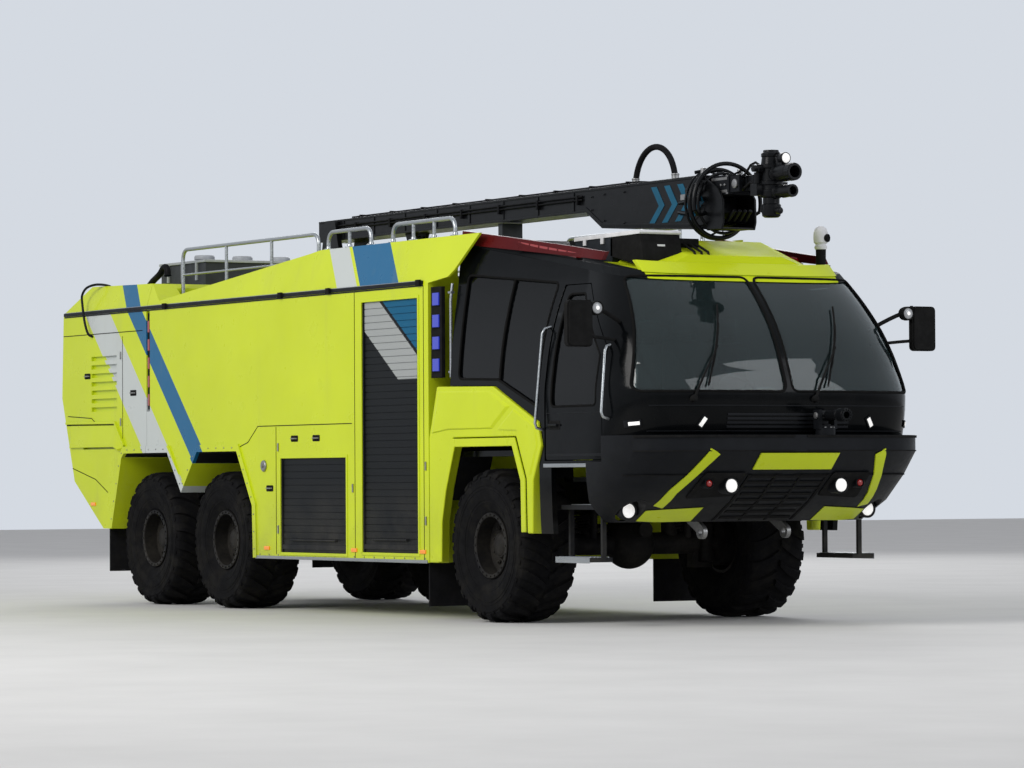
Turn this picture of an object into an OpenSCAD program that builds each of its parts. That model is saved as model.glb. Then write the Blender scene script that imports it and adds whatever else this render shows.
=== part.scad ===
// Airport fire truck with three axles and a high reach boom.
// Millimetres. X forward, Y to the vehicle's left, Z up from the ground, origin under the middle of the vehicle.

/* [Wheels and axles] */
// Diameter of each tyre over its lugs
tyre_d = 1372; // [1340:2:1390]
// Width of each tyre
tyre_w = 590; // [540:5:600]
// Diameter of the rim where the tyre sits
rim_d = 560; // [520:5:600]
// Distance between the middles of the left and right tyres
track = 2400; // [2380:5:2420]
// Front axle, forward of the vehicle's middle
front_axle_x = 3100; // [3080:5:3120]
// Middle axle, forward of the vehicle's middle
middle_axle_x = -2300; // [-2320:5:-2280]
// Rear axle, forward of the vehicle's middle
rear_axle_x = -3990; // [-4010:5:-3970]
// Distance from the vehicle's middle plane to each king pin
king_pin_y = 820; // [815:1:830]
// Diameter of the king pins
king_pin_d = 60; // [50:2:70]
// Diameter of the wheel spindles
spindle_d = 138; // [120:2:150]
// Diameter of the brake drums
drum_d = 420; // [380:5:440]
// Running clearance round a pin or spindle
pin_gap = 1; // [0.5:0.25:2]

/* [Chassis] */
// Height of the bottom of the frame rails
rail_z = 950; // [930:5:970]
// Height of each frame rail
rail_h = 300; // [260:5:320]
// Width of each frame rail
rail_w = 100; // [80:5:120]
// Distance from the middle plane to the middle of each rail
rail_y = 430; // [420:5:440]
// Diameter of the axle tubes
axle_tube_d = 200; // [160:5:220]
// Diameter of the round differential housings
diff_d = 460; // [420:5:480]

/* [Body] */
// Width of the body
body_w = 3050; // [3020:5:3070]
// Rear end of the body, behind the vehicle's middle
rear_end = 6175; // [6150:5:6200]
// Height of the bottom of the side skirts
skirt_z = 520; // [500:5:560]
// Height of the rain gutter along the body
gutter_z = 3070; // [3050:5:3090]
// Height of the body roof at its highest
roof_z = 3490; // [3470:5:3500]
// How far the sides lean in above the gutter
lean_in = 120; // [90:5:140]
// Height of the walkway deck between the roof edges
deck_z = 3120; // [3110:5:3130]
// Width of the walkway deck
deck_w = 2420; // [2380:5:2460]
// Front end of the body, forward of the vehicle's middle
body_front_x = 2110; // [2100:5:2120]
// Seam between the tank body and the rear cover
rear_seam_x = -4000; // [-4005:1:-3995]
// Height of the top of the rear wheel arches
rear_arch_z = 1570; // [1560:5:1600]
// Depth of the shutter recesses
shutter_recess = 45; // [40:1:60]
// Thickness of the roller shutters
shutter_t = 28; // [22:1:32]
// Height of one shutter slat
slat_h = 65; // [55:1:80]

/* [Cab] */
// Back wall of the cab, forward of the vehicle's middle
cab_rear_x = 2470; // [2465:1:2480]
// Thickness of the cab walls and doors
cab_wall = 50; // [40:1:60]
// Height of the cab floor
cab_floor_z = 1530; // [1520:5:1540]
// Thickness of the cab floor
cab_floor_t = 50; // [30:1:60]
// Thickness of the windscreen and windows
glass_t = 12; // [8:1:16]
// Seam around the doors
door_gap = 8; // [6:1:10]
// Seam behind each door, where its leaning top swings back
door_rear_gap = 24; // [22:1:30]
// Opening angle of the cab doors
door_deg = 70; // [40:5:75]
// Height of the bottom of the doors
door_z = 1440; // [1430:5:1460]

/* [Boom] */
// Pivot of the boom, forward of the vehicle's middle
boom_x = -2400; // [-2420:5:-2380]
// Height of the boom pivot
boom_z = 3825; // [3820:1:3830]
// Width of the outer boom
boom_w = 300; // [280:5:320]
// Height of the outer boom
boom_h = 210; // [205:1:215]
// Wall of the outer boom
boom_wall = 14; // [10:1:18]
// Length of the outer boom forward of its pivot
boom_len = 6860; // [6800:10:6900]
// Gap between the outer and the sliding boom
boom_gap = 6; // [5:0.5:8]
// Diameter of the boom turntable
turntable_d = 900; // [800:10:1000]
// Diameter of the boom pivot pin
boom_pin_d = 80; // [60:2:90]
// Bore of the lift cylinder
lift_bore_d = 70; // [60:2:80]

/* [Hidden] */

$fn = 48;
eps = 0.5;
seat_gap = 0.3;
wheel_r = tyre_d / 2;
wheel_y = track / 2;
body_y = body_w / 2;
rail_top = rail_z + rail_h;
rail_outer = rail_y + rail_w / 2;
black = [0.05, 0.05, 0.06];
charcoal = [0.14, 0.15, 0.16];
steel_grey = [0.45, 0.46, 0.47];
body_yellow = [0.78, 0.84, 0.12];
rail_grey = [0.62, 0.64, 0.66];
glass_grey = [0.25, 0.31, 0.33];
lamp_white = [0.9, 0.92, 0.95];

// Each wheel: its axle's X and its side, 1 for left
function at_wheel(axle_x, side) = [axle_x, side * wheel_y, wheel_r];

// An outline in the XZ plane, extruded along Y from y0 to y1
module side_plate(outline, y0, y1) {
    translate([0, y1, 0])
        rotate([90, 0, 0])
            linear_extrude(y1 - y0)
                polygon(outline);
}

module both_sides() {
    children();
    mirror([0, 1, 0])
        children();
}

// A box from its lowest to its highest corner
module box(low, high) {
    translate(low)
        cube(high - low);
}

module tube_y(d, y0, y1) {
    translate([0, y1, 0])
        rotate([90, 0, 0])
            cylinder(d = d, h = y1 - y0);
}

module tube_x(d, x0, x1) {
    translate([x0, 0, 0])
        rotate([0, 90, 0])
            cylinder(d = d, h = x1 - x0);
}

// A closed solid through rings of points, each ring level and counted the same way round
module loft(rings) {
    m = len(rings[0]);
    k = len(rings);
    polyhedron(
        points = [for (r = rings) for (p = r) p],
        faces = concat(
            [[for (i = [0 : m - 1]) i]],
            [for (j = [0 : k - 2], i = [0 : m - 1])
                [j * m + i, (j + 1) * m + i, (j + 1) * m + (i + 1) % m]],
            [for (j = [0 : k - 2], i = [0 : m - 1])
                [j * m + i, (j + 1) * m + (i + 1) % m, j * m + (i + 1) % m]],
            [[for (i = [m - 1 : -1 : 0]) (k - 1) * m + i]]));
}

// Keeps a curved shell as one mesh: a resize to its own size
module as_mesh()
    resize([0, 0, 0])
        children();

// Chassis

rail_front_x = 4700;
rail_rear_x = -5950;
cross_x = [-5700, -4700, -3100, -1200, 700, 2300, 3900, 4640];
cross_w = 120;
cross_h = 200;
engine_seat_z = rail_top;
shaft_d = 90;
case_x = -300;
case_len = 600;
nose_x = 300;

module chassis_frame() color(charcoal) {
    both_sides()
        box([rail_rear_x, rail_y - rail_w / 2, rail_z], [rail_front_x, rail_outer, rail_top]);
    for (x = cross_x)
        box([x - cross_w / 2, -rail_y, rail_top - cross_h], [x + cross_w / 2, rail_y, rail_top]);
    // Pads under the cab floor
    both_sides()
        for (x = [2560, 4400])
            box([x, rail_y - rail_w / 2, rail_top], [x + 200, rail_outer, cab_floor_z - cab_floor_t]);
    // Transfer case, hung from the rails, and its shafts
    box([case_x, -rail_y, rail_z - 180], [case_x + case_len, rail_y, rail_z]);
    translate([0, 0, wheel_r + 130]) {
        tube_x(shaft_d, case_x + case_len, front_axle_x - nose_x);
        tube_x(shaft_d, middle_axle_x + nose_x, case_x);
        tube_x(shaft_d, rear_axle_x + nose_x, middle_axle_x - nose_x);
    }
    // Bumper brackets and rear towing beam
    both_sides()
        box([rail_front_x, rail_y - rail_w / 2, rail_z + 100], [bumper_back_x, rail_outer, rail_top]);
    box([rail_rear_x, -rail_y + rail_w / 2, rail_z], [rail_rear_x + 60, rail_y - rail_w / 2, rail_z + cross_h - 100]);
}

engine_len = 1000;
engine_w = 640;
engine_h = 700;
module engine_block() color(steel_grey)
    box([cross_x[0] - cross_w / 2, -engine_w / 2, engine_seat_z],
        [cross_x[0] + engine_len, engine_w / 2, engine_seat_z + engine_h]);

module differential(axle_x) {
    translate([axle_x, 0, wheel_r]) {
        sphere(d = diff_d);
        translate([0, 0, 130])
            tube_x(140, -nose_x, nose_x);
    }
}

spring_d = 150;
module springs(axle_x) {
    both_sides()
        translate([axle_x, rail_y, wheel_r])
            cylinder(d = spring_d, h = rail_z - wheel_r);
}

yoke_in = 120;
knuckle_h = 340;
yoke_t = 50;
ear_r = 62;
module front_axle() color(charcoal) {
    differential(front_axle_x);
    springs(front_axle_x);
    translate([front_axle_x, 0, wheel_r])
        tube_y(axle_tube_d, -king_pin_y + yoke_in, king_pin_y - yoke_in);
    both_sides()
        translate([front_axle_x, 0, wheel_r]) {
            // Upright of the yoke, with an ear above and one below the knuckle
            box([-ear_r, king_pin_y - yoke_in - 40, -knuckle_h / 2 - yoke_t - 6],
                [ear_r, king_pin_y - yoke_in, knuckle_h / 2 + yoke_t + 6]);
            for (z = [-knuckle_h / 2 - yoke_t - 6, knuckle_h / 2 + 6]) {
                box([-ear_r, king_pin_y - yoke_in - eps, z], [ear_r, king_pin_y, z + yoke_t]);
                translate([0, king_pin_y, z])
                    cylinder(r = ear_r, h = yoke_t);
            }
            translate([0, king_pin_y, -knuckle_h / 2 - yoke_t])
                cylinder(d = king_pin_d, h = knuckle_h + 2 * yoke_t);
        }
}

drum_y0 = 910;
drum_y1 = 1030;
hub_y = 1290;
module rear_axles() color(charcoal)
    for (x = [middle_axle_x, rear_axle_x]) {
        differential(x);
        springs(x);
        translate([x, 0, wheel_r]) {
            tube_y(axle_tube_d, -drum_y0 - eps, drum_y0 + eps);
            both_sides() {
                tube_y(drum_d, drum_y0, drum_y1);
                tube_y(spindle_d, drum_y1 - eps, hub_y);
            }
        }
    }

// Knuckle on its king pin, with the brake drum and the spindle
module knuckle(side) color(charcoal)
    translate([front_axle_x, 0, wheel_r])
        mirror([0, side < 0 ? 1 : 0, 0])
            difference() {
                union() {
                    translate([0, king_pin_y, -knuckle_h / 2])
                        cylinder(d = 150, h = knuckle_h);
                    tube_y(spindle_d, king_pin_y, hub_y);
                    tube_y(drum_d, drum_y0, drum_y1);
                }
                translate([0, king_pin_y, -knuckle_h / 2 - 1])
                    cylinder(d = king_pin_d + 2 * pin_gap, h = knuckle_h + 2);
            }

// Half widths and radii of the tyre: middle of the tread, shoulder, widest point and bead
tread_half = 225;
bead_half = 215;
lug_h = 30;
lug_w = 110;
lug_slant = 30;
lugs = 10;
tyre_sides = 24;
tread_r = wheel_r - lug_h;
// The bore's flats lie on the rim
bead_r = rim_d / 2 / cos(180 / tyre_sides) + 0.2;
module tyre() color(black) as_mesh() {
    rotate([90, 0, 0])
        rotate_extrude($fn = tyre_sides)
            polygon([
                [bead_r, -bead_half], [bead_r, bead_half], [wheel_r * 0.7, tyre_w / 2],
                [tread_r * 0.95, tyre_w / 2 - 12], [tread_r, tread_half], [tread_r, -tread_half],
                [tread_r * 0.95, -tyre_w / 2 + 12], [wheel_r * 0.7, -tyre_w / 2]]);
    // Slanted lugs, left and right rows half a step apart
    for (k = [0 : lugs - 1], side = [0, 1])
        mirror([0, side, 0])
            rotate([0, (k + side / 2) * 360 / lugs, 0])
                translate([0, 0, -wheel_r])
                    linear_extrude(lug_h + 14)
                        polygon([[-lug_w + lug_slant, 0] / 2, [lug_w + lug_slant, 0] / 2,
                            [lug_w / 2 - lug_slant / 2, tread_half + 20], [-lug_w / 2 - lug_slant / 2, tread_half + 20]]);
}

rim_t = 24;
disc_y = 40;
disc_t = 30;
hub_d = 290;
// Rim seen from outside: barrel, flanges, disc and a hub that turns on the spindle
module rim() color(black)
    rotate([-90, 0, 0])
        rotate_extrude($fn = 72)
            polygon([
                [spindle_d / 2 + pin_gap, -60], [hub_d / 2, -60], [hub_d / 2, disc_y],
                [rim_d / 2 - rim_t, disc_y + 30], [rim_d / 2 - rim_t, -bead_half], [rim_d / 2, -bead_half],
                [rim_d / 2, bead_half + 8], [rim_d / 2 + 14, bead_half + 8], [rim_d / 2 + 14, bead_half + 22],
                [rim_d / 2 - rim_t, bead_half + 22], [rim_d / 2 - rim_t, disc_y + 30 + disc_t],
                [hub_d / 2, disc_y + disc_t], [hub_d / 2 - 40, 150], [0, 150], [0, hub_y - wheel_y + 6],
                [spindle_d / 2 + pin_gap, hub_y - wheel_y + 6]]);

module place_wheel(axle_x, side)
    translate(at_wheel(axle_x, side))
        rotate([0, 0, side < 0 ? 180 : 0])
            children();

// Body

roof_back_x = -5550;
hump_front_x = -4020;
notch_x = -3730;
notch_z = 3140;
roof_front_x = 2870;
roof_flat_x = -460;
arch_slope = [250, 540];

// Outlines of the side skirts with the rear arches cut
tank_outline = [
    [rear_seam_x + 3, gutter_z], [rear_seam_x + 3, rear_arch_z], [rear_axle_x + 510, rear_arch_z],
    [rear_axle_x + 845, rear_arch_z - 410], [middle_axle_x - 845, rear_arch_z - 410],
    [middle_axle_x - 470, rear_arch_z], [middle_axle_x + 440, rear_arch_z], [middle_axle_x + 790, 1030],
    [middle_axle_x + 810, skirt_z], [body_front_x, skirt_z], [body_front_x, gutter_z]];
rear_outline = [
    [rear_seam_x - 3, gutter_z], [roof_back_x - 580, gutter_z], [-rear_end, 2180], [-5850, 1280], [-5100, 780],
    [rear_axle_x - 870, 780], [rear_axle_x - 620, 1520], [rear_axle_x - 560, rear_arch_z],
    [rear_seam_x - 3, rear_arch_z]];
skirt_y = 850;

// Shutters on one side: X from, X to, bottom, top
shutters = [[-900, 480, 580, 1490], [810, 1910, 600, 2940]];

module shutter_cuts()
    both_sides()
        for (s = shutters)
            box([s[0], body_y - shutter_recess, s[2]], [s[1], body_y + 1, s[3]]);

// Roof edge above the gutter, leaning in, from an outline in the XZ plane
module leaning_top(outline) {
    rise = roof_z - gutter_z;
    intersection() {
        side_plate(outline, -body_y, body_y);
        rotate([90, 0, 90])
            translate([0, 0, -rear_end])
                linear_extrude(2 * rear_end)
                    polygon([[-body_y, gutter_z - 1], [body_y, gutter_z - 1], [body_y, gutter_z],
                        [body_y - lean_in, gutter_z + rise], [-body_y + lean_in, gutter_z + rise],
                        [-body_y, gutter_z]]);
    }
}

tank_top = [
    [rear_seam_x + 3, gutter_z - 1], [rear_seam_x + 3, 3330], [notch_x, notch_z], [roof_flat_x, 3465],
    [roof_flat_x + 200, roof_z], [roof_front_x, roof_z], [roof_front_x - 310, 3170], [cab_rear_x - 6, 3110],
    [body_front_x, gutter_z], [body_front_x, gutter_z - 1]];
rear_top = [[rear_seam_x - 3, gutter_z - 1], [roof_back_x - 580, gutter_z - 1], [roof_back_x - 570, gutter_z + 20],
    [roof_back_x, 3360], [hump_front_x, 3330], [rear_seam_x - 3, 3320]];

module body_tank() color(body_yellow)
    difference() {
        union() {
            side_plate(tank_outline, -body_y, body_y);
            leaning_top(tank_top);
            arch_lip([[middle_axle_x + 810, skirt_z], [middle_axle_x + 790, 1030], [middle_axle_x + 440, rear_arch_z],
                [middle_axle_x - 470, rear_arch_z], [middle_axle_x - 845, rear_arch_z - 410],
                [rear_axle_x + 510, rear_arch_z], [rear_seam_x + 3, rear_arch_z]]);
        }
        // Tunnel for the chassis between the wheels
        box([rear_seam_x - 1, -skirt_y, 0], [body_front_x + 1, skirt_y, rail_top]);
        // Inner faces of the arches over the wheels
        for (x = [rear_axle_x, middle_axle_x])
            box([x - 760, -skirt_y - eps, 0], [x + 760, skirt_y + eps, rail_top + eps]);
        shutter_cuts();
        // Deck between the roof edges
        box([notch_x - 200, -deck_w / 2, deck_z], [roof_front_x + 1, deck_w / 2, roof_z + 1]);
        // Room over the cab roof, in front of the tank: only a skin is left on each side
        rotate([90, 0, 90])
            translate([0, 0, body_front_x])
                linear_extrude(roof_front_x + 1 - body_front_x)
                    polygon([[-skin_y, gutter_z - 2], [skin_y, gutter_z - 2], [skin_y - lean_in, roof_z + 1],
                        [-skin_y + lean_in, roof_z + 1]]);
        // Pockets of the light strips
        both_sides()
            box([rear_seam_x - 1, body_y - 30, 2000], [rear_seam_x + 80, body_y + 1, gutter_z - 20]);
    }
skin_y = body_y - 25;

louvre_h = 45;
louvre_half = 620;
louvre_z = [for (k = [0 : 6]) 1900 + 90 * k];
lip_out = 16;
lip_w = 70;
// Left-hand normal of a line from one point to the next
function side_of(a, b) = [(b - a)[1], -(b - a)[0]] / norm(b - a);
// Point of a path set off by the lip's width, mitred at corners
function lip_point(path, i) =
    let (
        last = len(path) - 1,
        before = side_of(path[max(i - 1, 0)], path[max(i, 1)]),
        after = side_of(path[min(i, last - 1)], path[min(i + 1, last)]))
        path[i] + lip_w * (before + after) / (1 + before * after);
// Raised lip round the rear arches, from points given clockwise from the front
module arch_lip(path)
    both_sides()
        side_plate(concat(path, [for (i = [len(path) - 1 : -1 : 0]) lip_point(path, i)]),
            body_y - 20, body_y + lip_out);

module body_rear() color(body_yellow)
    difference() {
        union() {
            side_plate(rear_outline, -body_y, body_y);
            leaning_top(rear_top);
            arch_lip([[rear_seam_x - 3, rear_arch_z], [rear_axle_x - 560, rear_arch_z],
                [rear_axle_x - 620, 1520], [rear_axle_x - 870, 780]]);
        }
        box([-rear_end - 1, -skirt_y, 0], [rear_seam_x + 1, skirt_y, rail_top]);
        // Engine bay
        box([cross_x[0] - cross_w / 2 - 80, -rail_y + rail_w / 2 + 4, rail_top - 1],
            [cross_x[0] + engine_len + 80, rail_y - rail_w / 2 - 4, rail_top + engine_h + 80]);
        // Cooling louvres in the back and the rear sides
        for (z = louvre_z) {
            box([-rear_end - 100, -louvre_half, z], [-rear_end + 120, louvre_half, z + louvre_h]);
            both_sides()
                box([-5400, body_y - 30, z + 120], [-4750, body_y + 1, z + 120 + louvre_h]);
        }
        both_sides()
            box([-rear_end - 1, tail_y, 1500], [tail_x, tail_y + 180 + seat_gap, 1760]);
        // Sunk service panels in the rear corners
        both_sides()
            side_plate([[-5620, 1620], [-5620, 1780], [-5500, 1850], [-4900, 1850], [-4720, 1620]],
                body_y - 40, body_y + 1);
    }

module roller_shutters() color(charcoal)
    both_sides()
        for (s = shutters) {
            back_y = body_y - shutter_recess;
            box([s[0], back_y, s[2]], [s[1], back_y + shutter_t - 8, s[3]]);
            for (z = [s[2] : slat_h : s[3] - slat_h])
                box([s[0], back_y, z + 4], [s[1], back_y + shutter_t, z + slat_h - 4]);
        }

// Cab

// Cab sections: height, middle of the front, where the front starts to curve, and how far the sides stand in
// from the body's, there and behind
cab_rows = [for (row = [
    [800, 4900, 4300, 45, 25], [1000, 5080, 4400, 35, 25], [1400, 5620, 4700, 25, 25],
    [1980, 5760, 4800, 25, 25],
    [2240, 5680, 4720, 55, 35], [2500, 5560, 4600, 105, 55], [2780, 5350, 4530, 195, 85],
    [3050, 5080, 4450, 305, 120], [3500, 4600, 4000, 445, 160]])
    [row[0], row[1], row[2], body_y - row[3], body_y - row[4]]];
cab_round = 4;
cab_steps = 20;
roof_slope = 0.158;
roof_line_z = 3460;

function cab_front(row, inset) = [
    for (i = [0 : cab_steps])
        let (a = -90 + 180 * i / cab_steps)
            [row[2] + (row[1] - inset - row[2]) * pow(abs(cos(a)), 2 / cab_round),
             sign(a) * (row[3] - inset) * pow(abs(sin(a)), 2 / cab_round), row[0]]];
function cab_ring(row, inset) = concat(
    [[cab_rear_x + inset, -row[4] + inset, row[0]]], cab_front(row, inset),
    [[cab_rear_x + inset, row[4] - inset, row[0]]]);
module cab_body(inset)
    loft([for (row = cab_rows) cab_ring(row, inset)]);

function roof_at(x) = roof_line_z - roof_slope * (x - cab_rear_x);
roof_t = 60;
// Everything between two planes that follow the sloping roof, in heights over its top face
module roof_layer(low, high)
    side_plate([[cab_rear_x - 50, roof_at(cab_rear_x - 50) + low], [6200, roof_at(6200) + low],
        [6200, roof_at(6200) + high], [cab_rear_x - 50, roof_at(cab_rear_x - 50) + high]], -body_y, body_y);

door_rear_x = 4190;
door_front_x = 5120;
door_top_z = 2960;
door_outline = [[door_rear_x, door_z], [door_front_x, door_z], [door_front_x, 2380], [4560, door_top_z],
    [door_rear_x, door_top_z]];
door_hole = [[door_rear_x - door_rear_gap, door_z - door_gap], [door_front_x + door_gap, door_z - door_gap],
    [door_front_x + door_gap, 2385], [4565, door_top_z + door_gap],
    [door_rear_x - door_rear_gap, door_top_z + door_gap]];
door_window = [[door_rear_x + 90, 1900], [door_front_x - 90, 1900], [door_front_x - 90, 2330],
    [4525, door_top_z - 80], [door_rear_x + 90, door_top_z - 80]];
side_window = [[2620, 2180], [3330, 2160], [4060, 1900], [4060, 2990], [2620, 3120]];
door_in_y = body_y - 425;

fender_outer = [[body_front_x, skirt_z], [body_front_x, 1660], [2260, 2120], [3290, 2100], [4080, 1770],
    [4140, 1560], [4000, 1270], [3990, 800]];
fender_inner = [[3895, 800], [3880, 1280], [3700, 1650], [2560, 1650], [2370, 1200], [2290, 900], [2280, skirt_z]];
fender_y0 = body_y - 125;
fender_y1 = body_y;

// Windscreen opening: X and Z of its lower and upper edge, half widths, seen from the front
screen_low = 2010;
screen_high = 3000;
screen_half_low = body_y - 175;
screen_half_high = body_y - 445;
post_half = 45;
module screen_prism(grow, x0)
    for (side = [0, 1])
        mirror([0, side, 0])
            rotate([90, 0, 90])
                translate([0, 0, x0])
                    linear_extrude(2000)
                        polygon([[post_half - grow, screen_low - grow], [screen_half_low + grow, screen_low - grow],
                            [screen_half_high + grow, screen_high + grow], [post_half - grow, screen_high + grow]]);

hinge_x = door_front_x + door_gap / 2;
hinge_y = body_y - 13;
hinge_d = 32;
hinge_h = 40;
hinge_z = [1660, 2080];
// One half of each hinge: its leaf points to -X on the door and to +X on the cab
module hinge_half(leaf, z0)
    for (z = hinge_z)
        translate([hinge_x, hinge_y, z + z0]) {
            cylinder(d = hinge_d, h = hinge_h, $fn = 24);
            translate([leaf < 0 ? -44 : 0, -60, 0])
                cube([44, 60, hinge_h]);
        }

module cab_shell() color(black) as_mesh() {
    both_sides()
        hinge_half(1, hinge_h);
    difference() {
        cab_body(0);
        // Inside, above and below the floor
        intersection() {
            cab_body(cab_wall);
            union() {
                box([cab_rear_x, -body_y, cab_floor_z], [6200, body_y, 3600]);
                box([cab_rear_x - 1, -body_y, 0], [6200, body_y, cab_floor_z - cab_floor_t]);
            }
        }
        // Open below the cab and round the front wheels
        box([cab_rear_x - 1, -body_y - 1, 0], [4075, body_y + 1, cab_floor_z - cab_floor_t]);
        box([4000, -fender_y0, 700], [6200, fender_y0, 1300]);
        both_sides()
            side_plate(concat([[body_front_x, 400]], [[body_front_x, 1660], [2255, 2126], [3292, 2106],
                [4085, 1775], [4146, 1560], [4006, 1265], [4006, 400]]), fender_y0 - 6, body_y + 10);
        both_sides()
            side_plate(door_hole, door_in_y, body_y + 1);
        both_sides()
            side_plate(side_window, door_in_y, body_y + 1);
        // Recess of the entry steps below the doors
        both_sides()
            box([step_x0 - 20, door_in_y, 0], [step_x1 + 20, body_y + 1, door_z - 60]);
        screen_prism(0, 4900);
        roof_layer(-roof_t, 800);
    }
}

module cab_roof() color(body_yellow) as_mesh() {
    intersection() {
        cab_body(0);
        roof_layer(-roof_t, 0);
    }
    // Raised hood over the windscreen
    hull() {
        for (x = [4350, 5000])
            box([x - 10, -850, roof_at(x) - 40], [x, 850, roof_at(x) + 1]);
        box([4380, -600, roof_at(4380)], [4400, 600, 3370]);
        box([4900, -480, roof_at(4900)], [4920, 480, 3210]);
    }
}

// Glass, set in the thickness of the wall
module glass_layer()
    difference() {
        cab_body(18);
        cab_body(18 + glass_t);
    }

module windscreen() color(glass_grey) as_mesh()
    intersection() {
        glass_layer();
        screen_prism(0, 4900);
        roof_layer(-3000, -roof_t);
    }

module side_glass() color(glass_grey) as_mesh()
    intersection() {
        glass_layer();
        both_sides()
            side_plate(side_window, door_in_y, body_y);
    }

module cab_wall_layer()
    difference() {
        cab_body(0);
        cab_body(cab_wall);
    }

module door(side) color(black) as_mesh() {
    mirror([0, side < 0 ? 1 : 0, 0])
        hinge_half(-1, 0);
    intersection() {
        cab_wall_layer();
        mirror([0, side < 0 ? 1 : 0, 0])
            difference() {
                side_plate(door_outline, door_in_y, body_y);
                side_plate(door_window, door_in_y - 1, body_y + 1);
            }
    }
}

module door_glass(side) color(glass_grey) as_mesh()
    intersection() {
        glass_layer();
        mirror([0, side < 0 ? 1 : 0, 0])
            side_plate(door_window, door_in_y, body_y);
    }

// Bumper sections: height, middle of the front, where it starts to curve, how far it stands in from the body's side
bumper_rows = [for (row = [[900, 5120, 4420, 125], [1080, 5450, 4520, 25], [1300, 5730, 4660, 5],
    [1500, 5930, 4760, 0], [1640, 5930, 4760, 0]])
    [row[0], row[1], row[2], body_y - row[3]]];
bumper_t = 110;
bumper_top = 1640;
bumper_back_x = 4760;
function bumper_ring(row, inset) = concat(
    [[4330, -row[3] + inset, row[0]]],
    [for (i = [0 : cab_steps])
        let (a = -90 + 180 * i / cab_steps)
            [row[2] + (row[1] - inset - row[2]) * pow(abs(cos(a)), 2 / cab_round),
             sign(a) * (row[3] - inset) * pow(abs(sin(a)), 2 / cab_round), row[0]]],
    [[4330, row[3] - inset, row[0]]]);

module bumper() color(charcoal) as_mesh() {
    // Arms that bolt to the frame rails
    both_sides()
        side_plate([[bumper_back_x, rail_z + 100], [5390, rail_z + 100], [5600, 1230], [5600, rail_top],
            [bumper_back_x, rail_top]], rail_y - rail_w / 2, rail_outer);
    difference() {
        loft([for (row = bumper_rows) bumper_ring(row, 0)]);
        cab_body(-6);
        loft([for (row = bumper_rows) bumper_ring(row, bumper_t)]);
        box([4300, -body_y - 1, 0], [4900, body_y + 1, 1700]);
        // Wings end below and ahead of the doors
        box([4300, -body_y - 1, door_z - 20], [door_front_x + 30, body_y + 1, 1700]);
        // Sockets of the headlamps
        both_sides()
            translate([4700, headlamp_y, headlamp_z])
                tube_x(headlamp_d + 2 * seat_gap, 0, 900);
    }
}

headlamp_y = body_y - 295;
headlamp_z = 1000;
headlamp_d = 150;

tail_x = -5850;
tail_y = body_y - 425;
module lamps() color(lamp_white) {
    // Headlamps
    both_sides()
        translate([0, headlamp_y, headlamp_z])
            tube_x(headlamp_d, 5030, 5140);
    // Blue lamps in the front strips and red ones behind
    both_sides() {
        box([body_front_x, body_y - 60, 2180], [body_front_x + 230, body_y - 20, 3040]);
        box([rear_seam_x + 10, body_y - 30, 2020], [rear_seam_x + 70, body_y - 10, gutter_z - 40]);
        // Light bar along the edge of the cab roof
        intersection() {
            roof_layer(seat_gap, 70);
            translate([0, 0, 3000])
                linear_extrude(700)
                    polygon([[2890, body_y - 225], [2890, body_y - 290], [4200, body_y - 400], [4200, body_y - 340]]);
        }
        // Tail lamps
        box([tail_x - 130, tail_y + seat_gap, 1500 + seat_gap], [tail_x, tail_y + 180, 1760 - seat_gap]);
    }
}

module fenders() color(body_yellow)
    both_sides()
        side_plate(concat(fender_outer, fender_inner), fender_y0, fender_y1);
module mudflaps() color(black) {
    both_sides() {
        box([2045, wheel_y - tyre_w / 2, 120], [2065, body_y - 30, skirt_z]);
        box([-5010, wheel_y - tyre_w / 2, 330], [-4990, body_y - 30, 780]);
    }
}

step_x0 = 4300;
step_x1 = 4870;
module entry_steps() color(charcoal)
    both_sides() {
        // Step well behind the door
        box([step_x0 - 20, body_y - 445, 1010], [step_x1 + 20, fender_y0, 1050]);
        box([step_x0 - 20, body_y - 445, 1250], [step_x1 + 20, body_y - 245, 1290]);
        box([step_x0 - 20, body_y - 465, 1010], [step_x1 + 20, body_y - 445, cab_floor_z - cab_floor_t]);
        // Folding step below the door
        box([step_x0, body_y - 285, 560], [step_x1, body_y - 55, 600]);
        for (x = [step_x0, step_x1 - 30])
            box([x, body_y - 225, 600], [x + 30, body_y - 185, 1010]);
    }

// Seats: X and Y of each
seat_places = [[4350, 0], [3750, -800], [3750, 800], [3000, -450], [3000, 450]];
module seats() color(charcoal)
    for (p = seat_places)
        translate([p[0], p[1], cab_floor_z]) {
            box([-180, -180, 0], [180, 180, 250]);
            box([-250, -260, 250], [250, 260, 380]);
            box([-330, -250, 380], [-220, 250, 1000]);
            box([-320, -130, 1020], [-240, 130, 1200]);
            box([-300, -90, 1000], [-260, 90, 1020]);
        }

module dashboard() color(charcoal) {
    box([5000, -body_y + 375, cab_floor_z], [5250, body_y - 375, 1900]);
    translate([4950, 0, 1980])
        rotate([0, 60, 0]) {
            rotate_extrude()
                translate([210, 0])
                    circle(d = 34);
            box([-15, -200, -12], [15, 200, 12]);
            translate([0, 0, -12])
                cylinder(d = 90, h = 24);
        }
    translate([4950, 0, 1980])
        rotate([0, 60, 0])
            cylinder(d = 50, h = 230);
}

module mirrors() color(black) as_mesh()
    difference() {
        both_sides() {
            rod([5130, body_y - 305, 2560], [5200, body_y + 195, 2740], 40);
            rod([5140, body_y - 285, 2440], [5200, body_y + 195, 2500], 30);
            box([5170, body_y + 115, 2370], [5250, body_y + 375, 2790]);
            // Round lamp on each upper arm
            translate([5150, body_y + 75, 2720])
                tube_x(120, 0, 110);
        }
        cab_body(0);
    }

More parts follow.
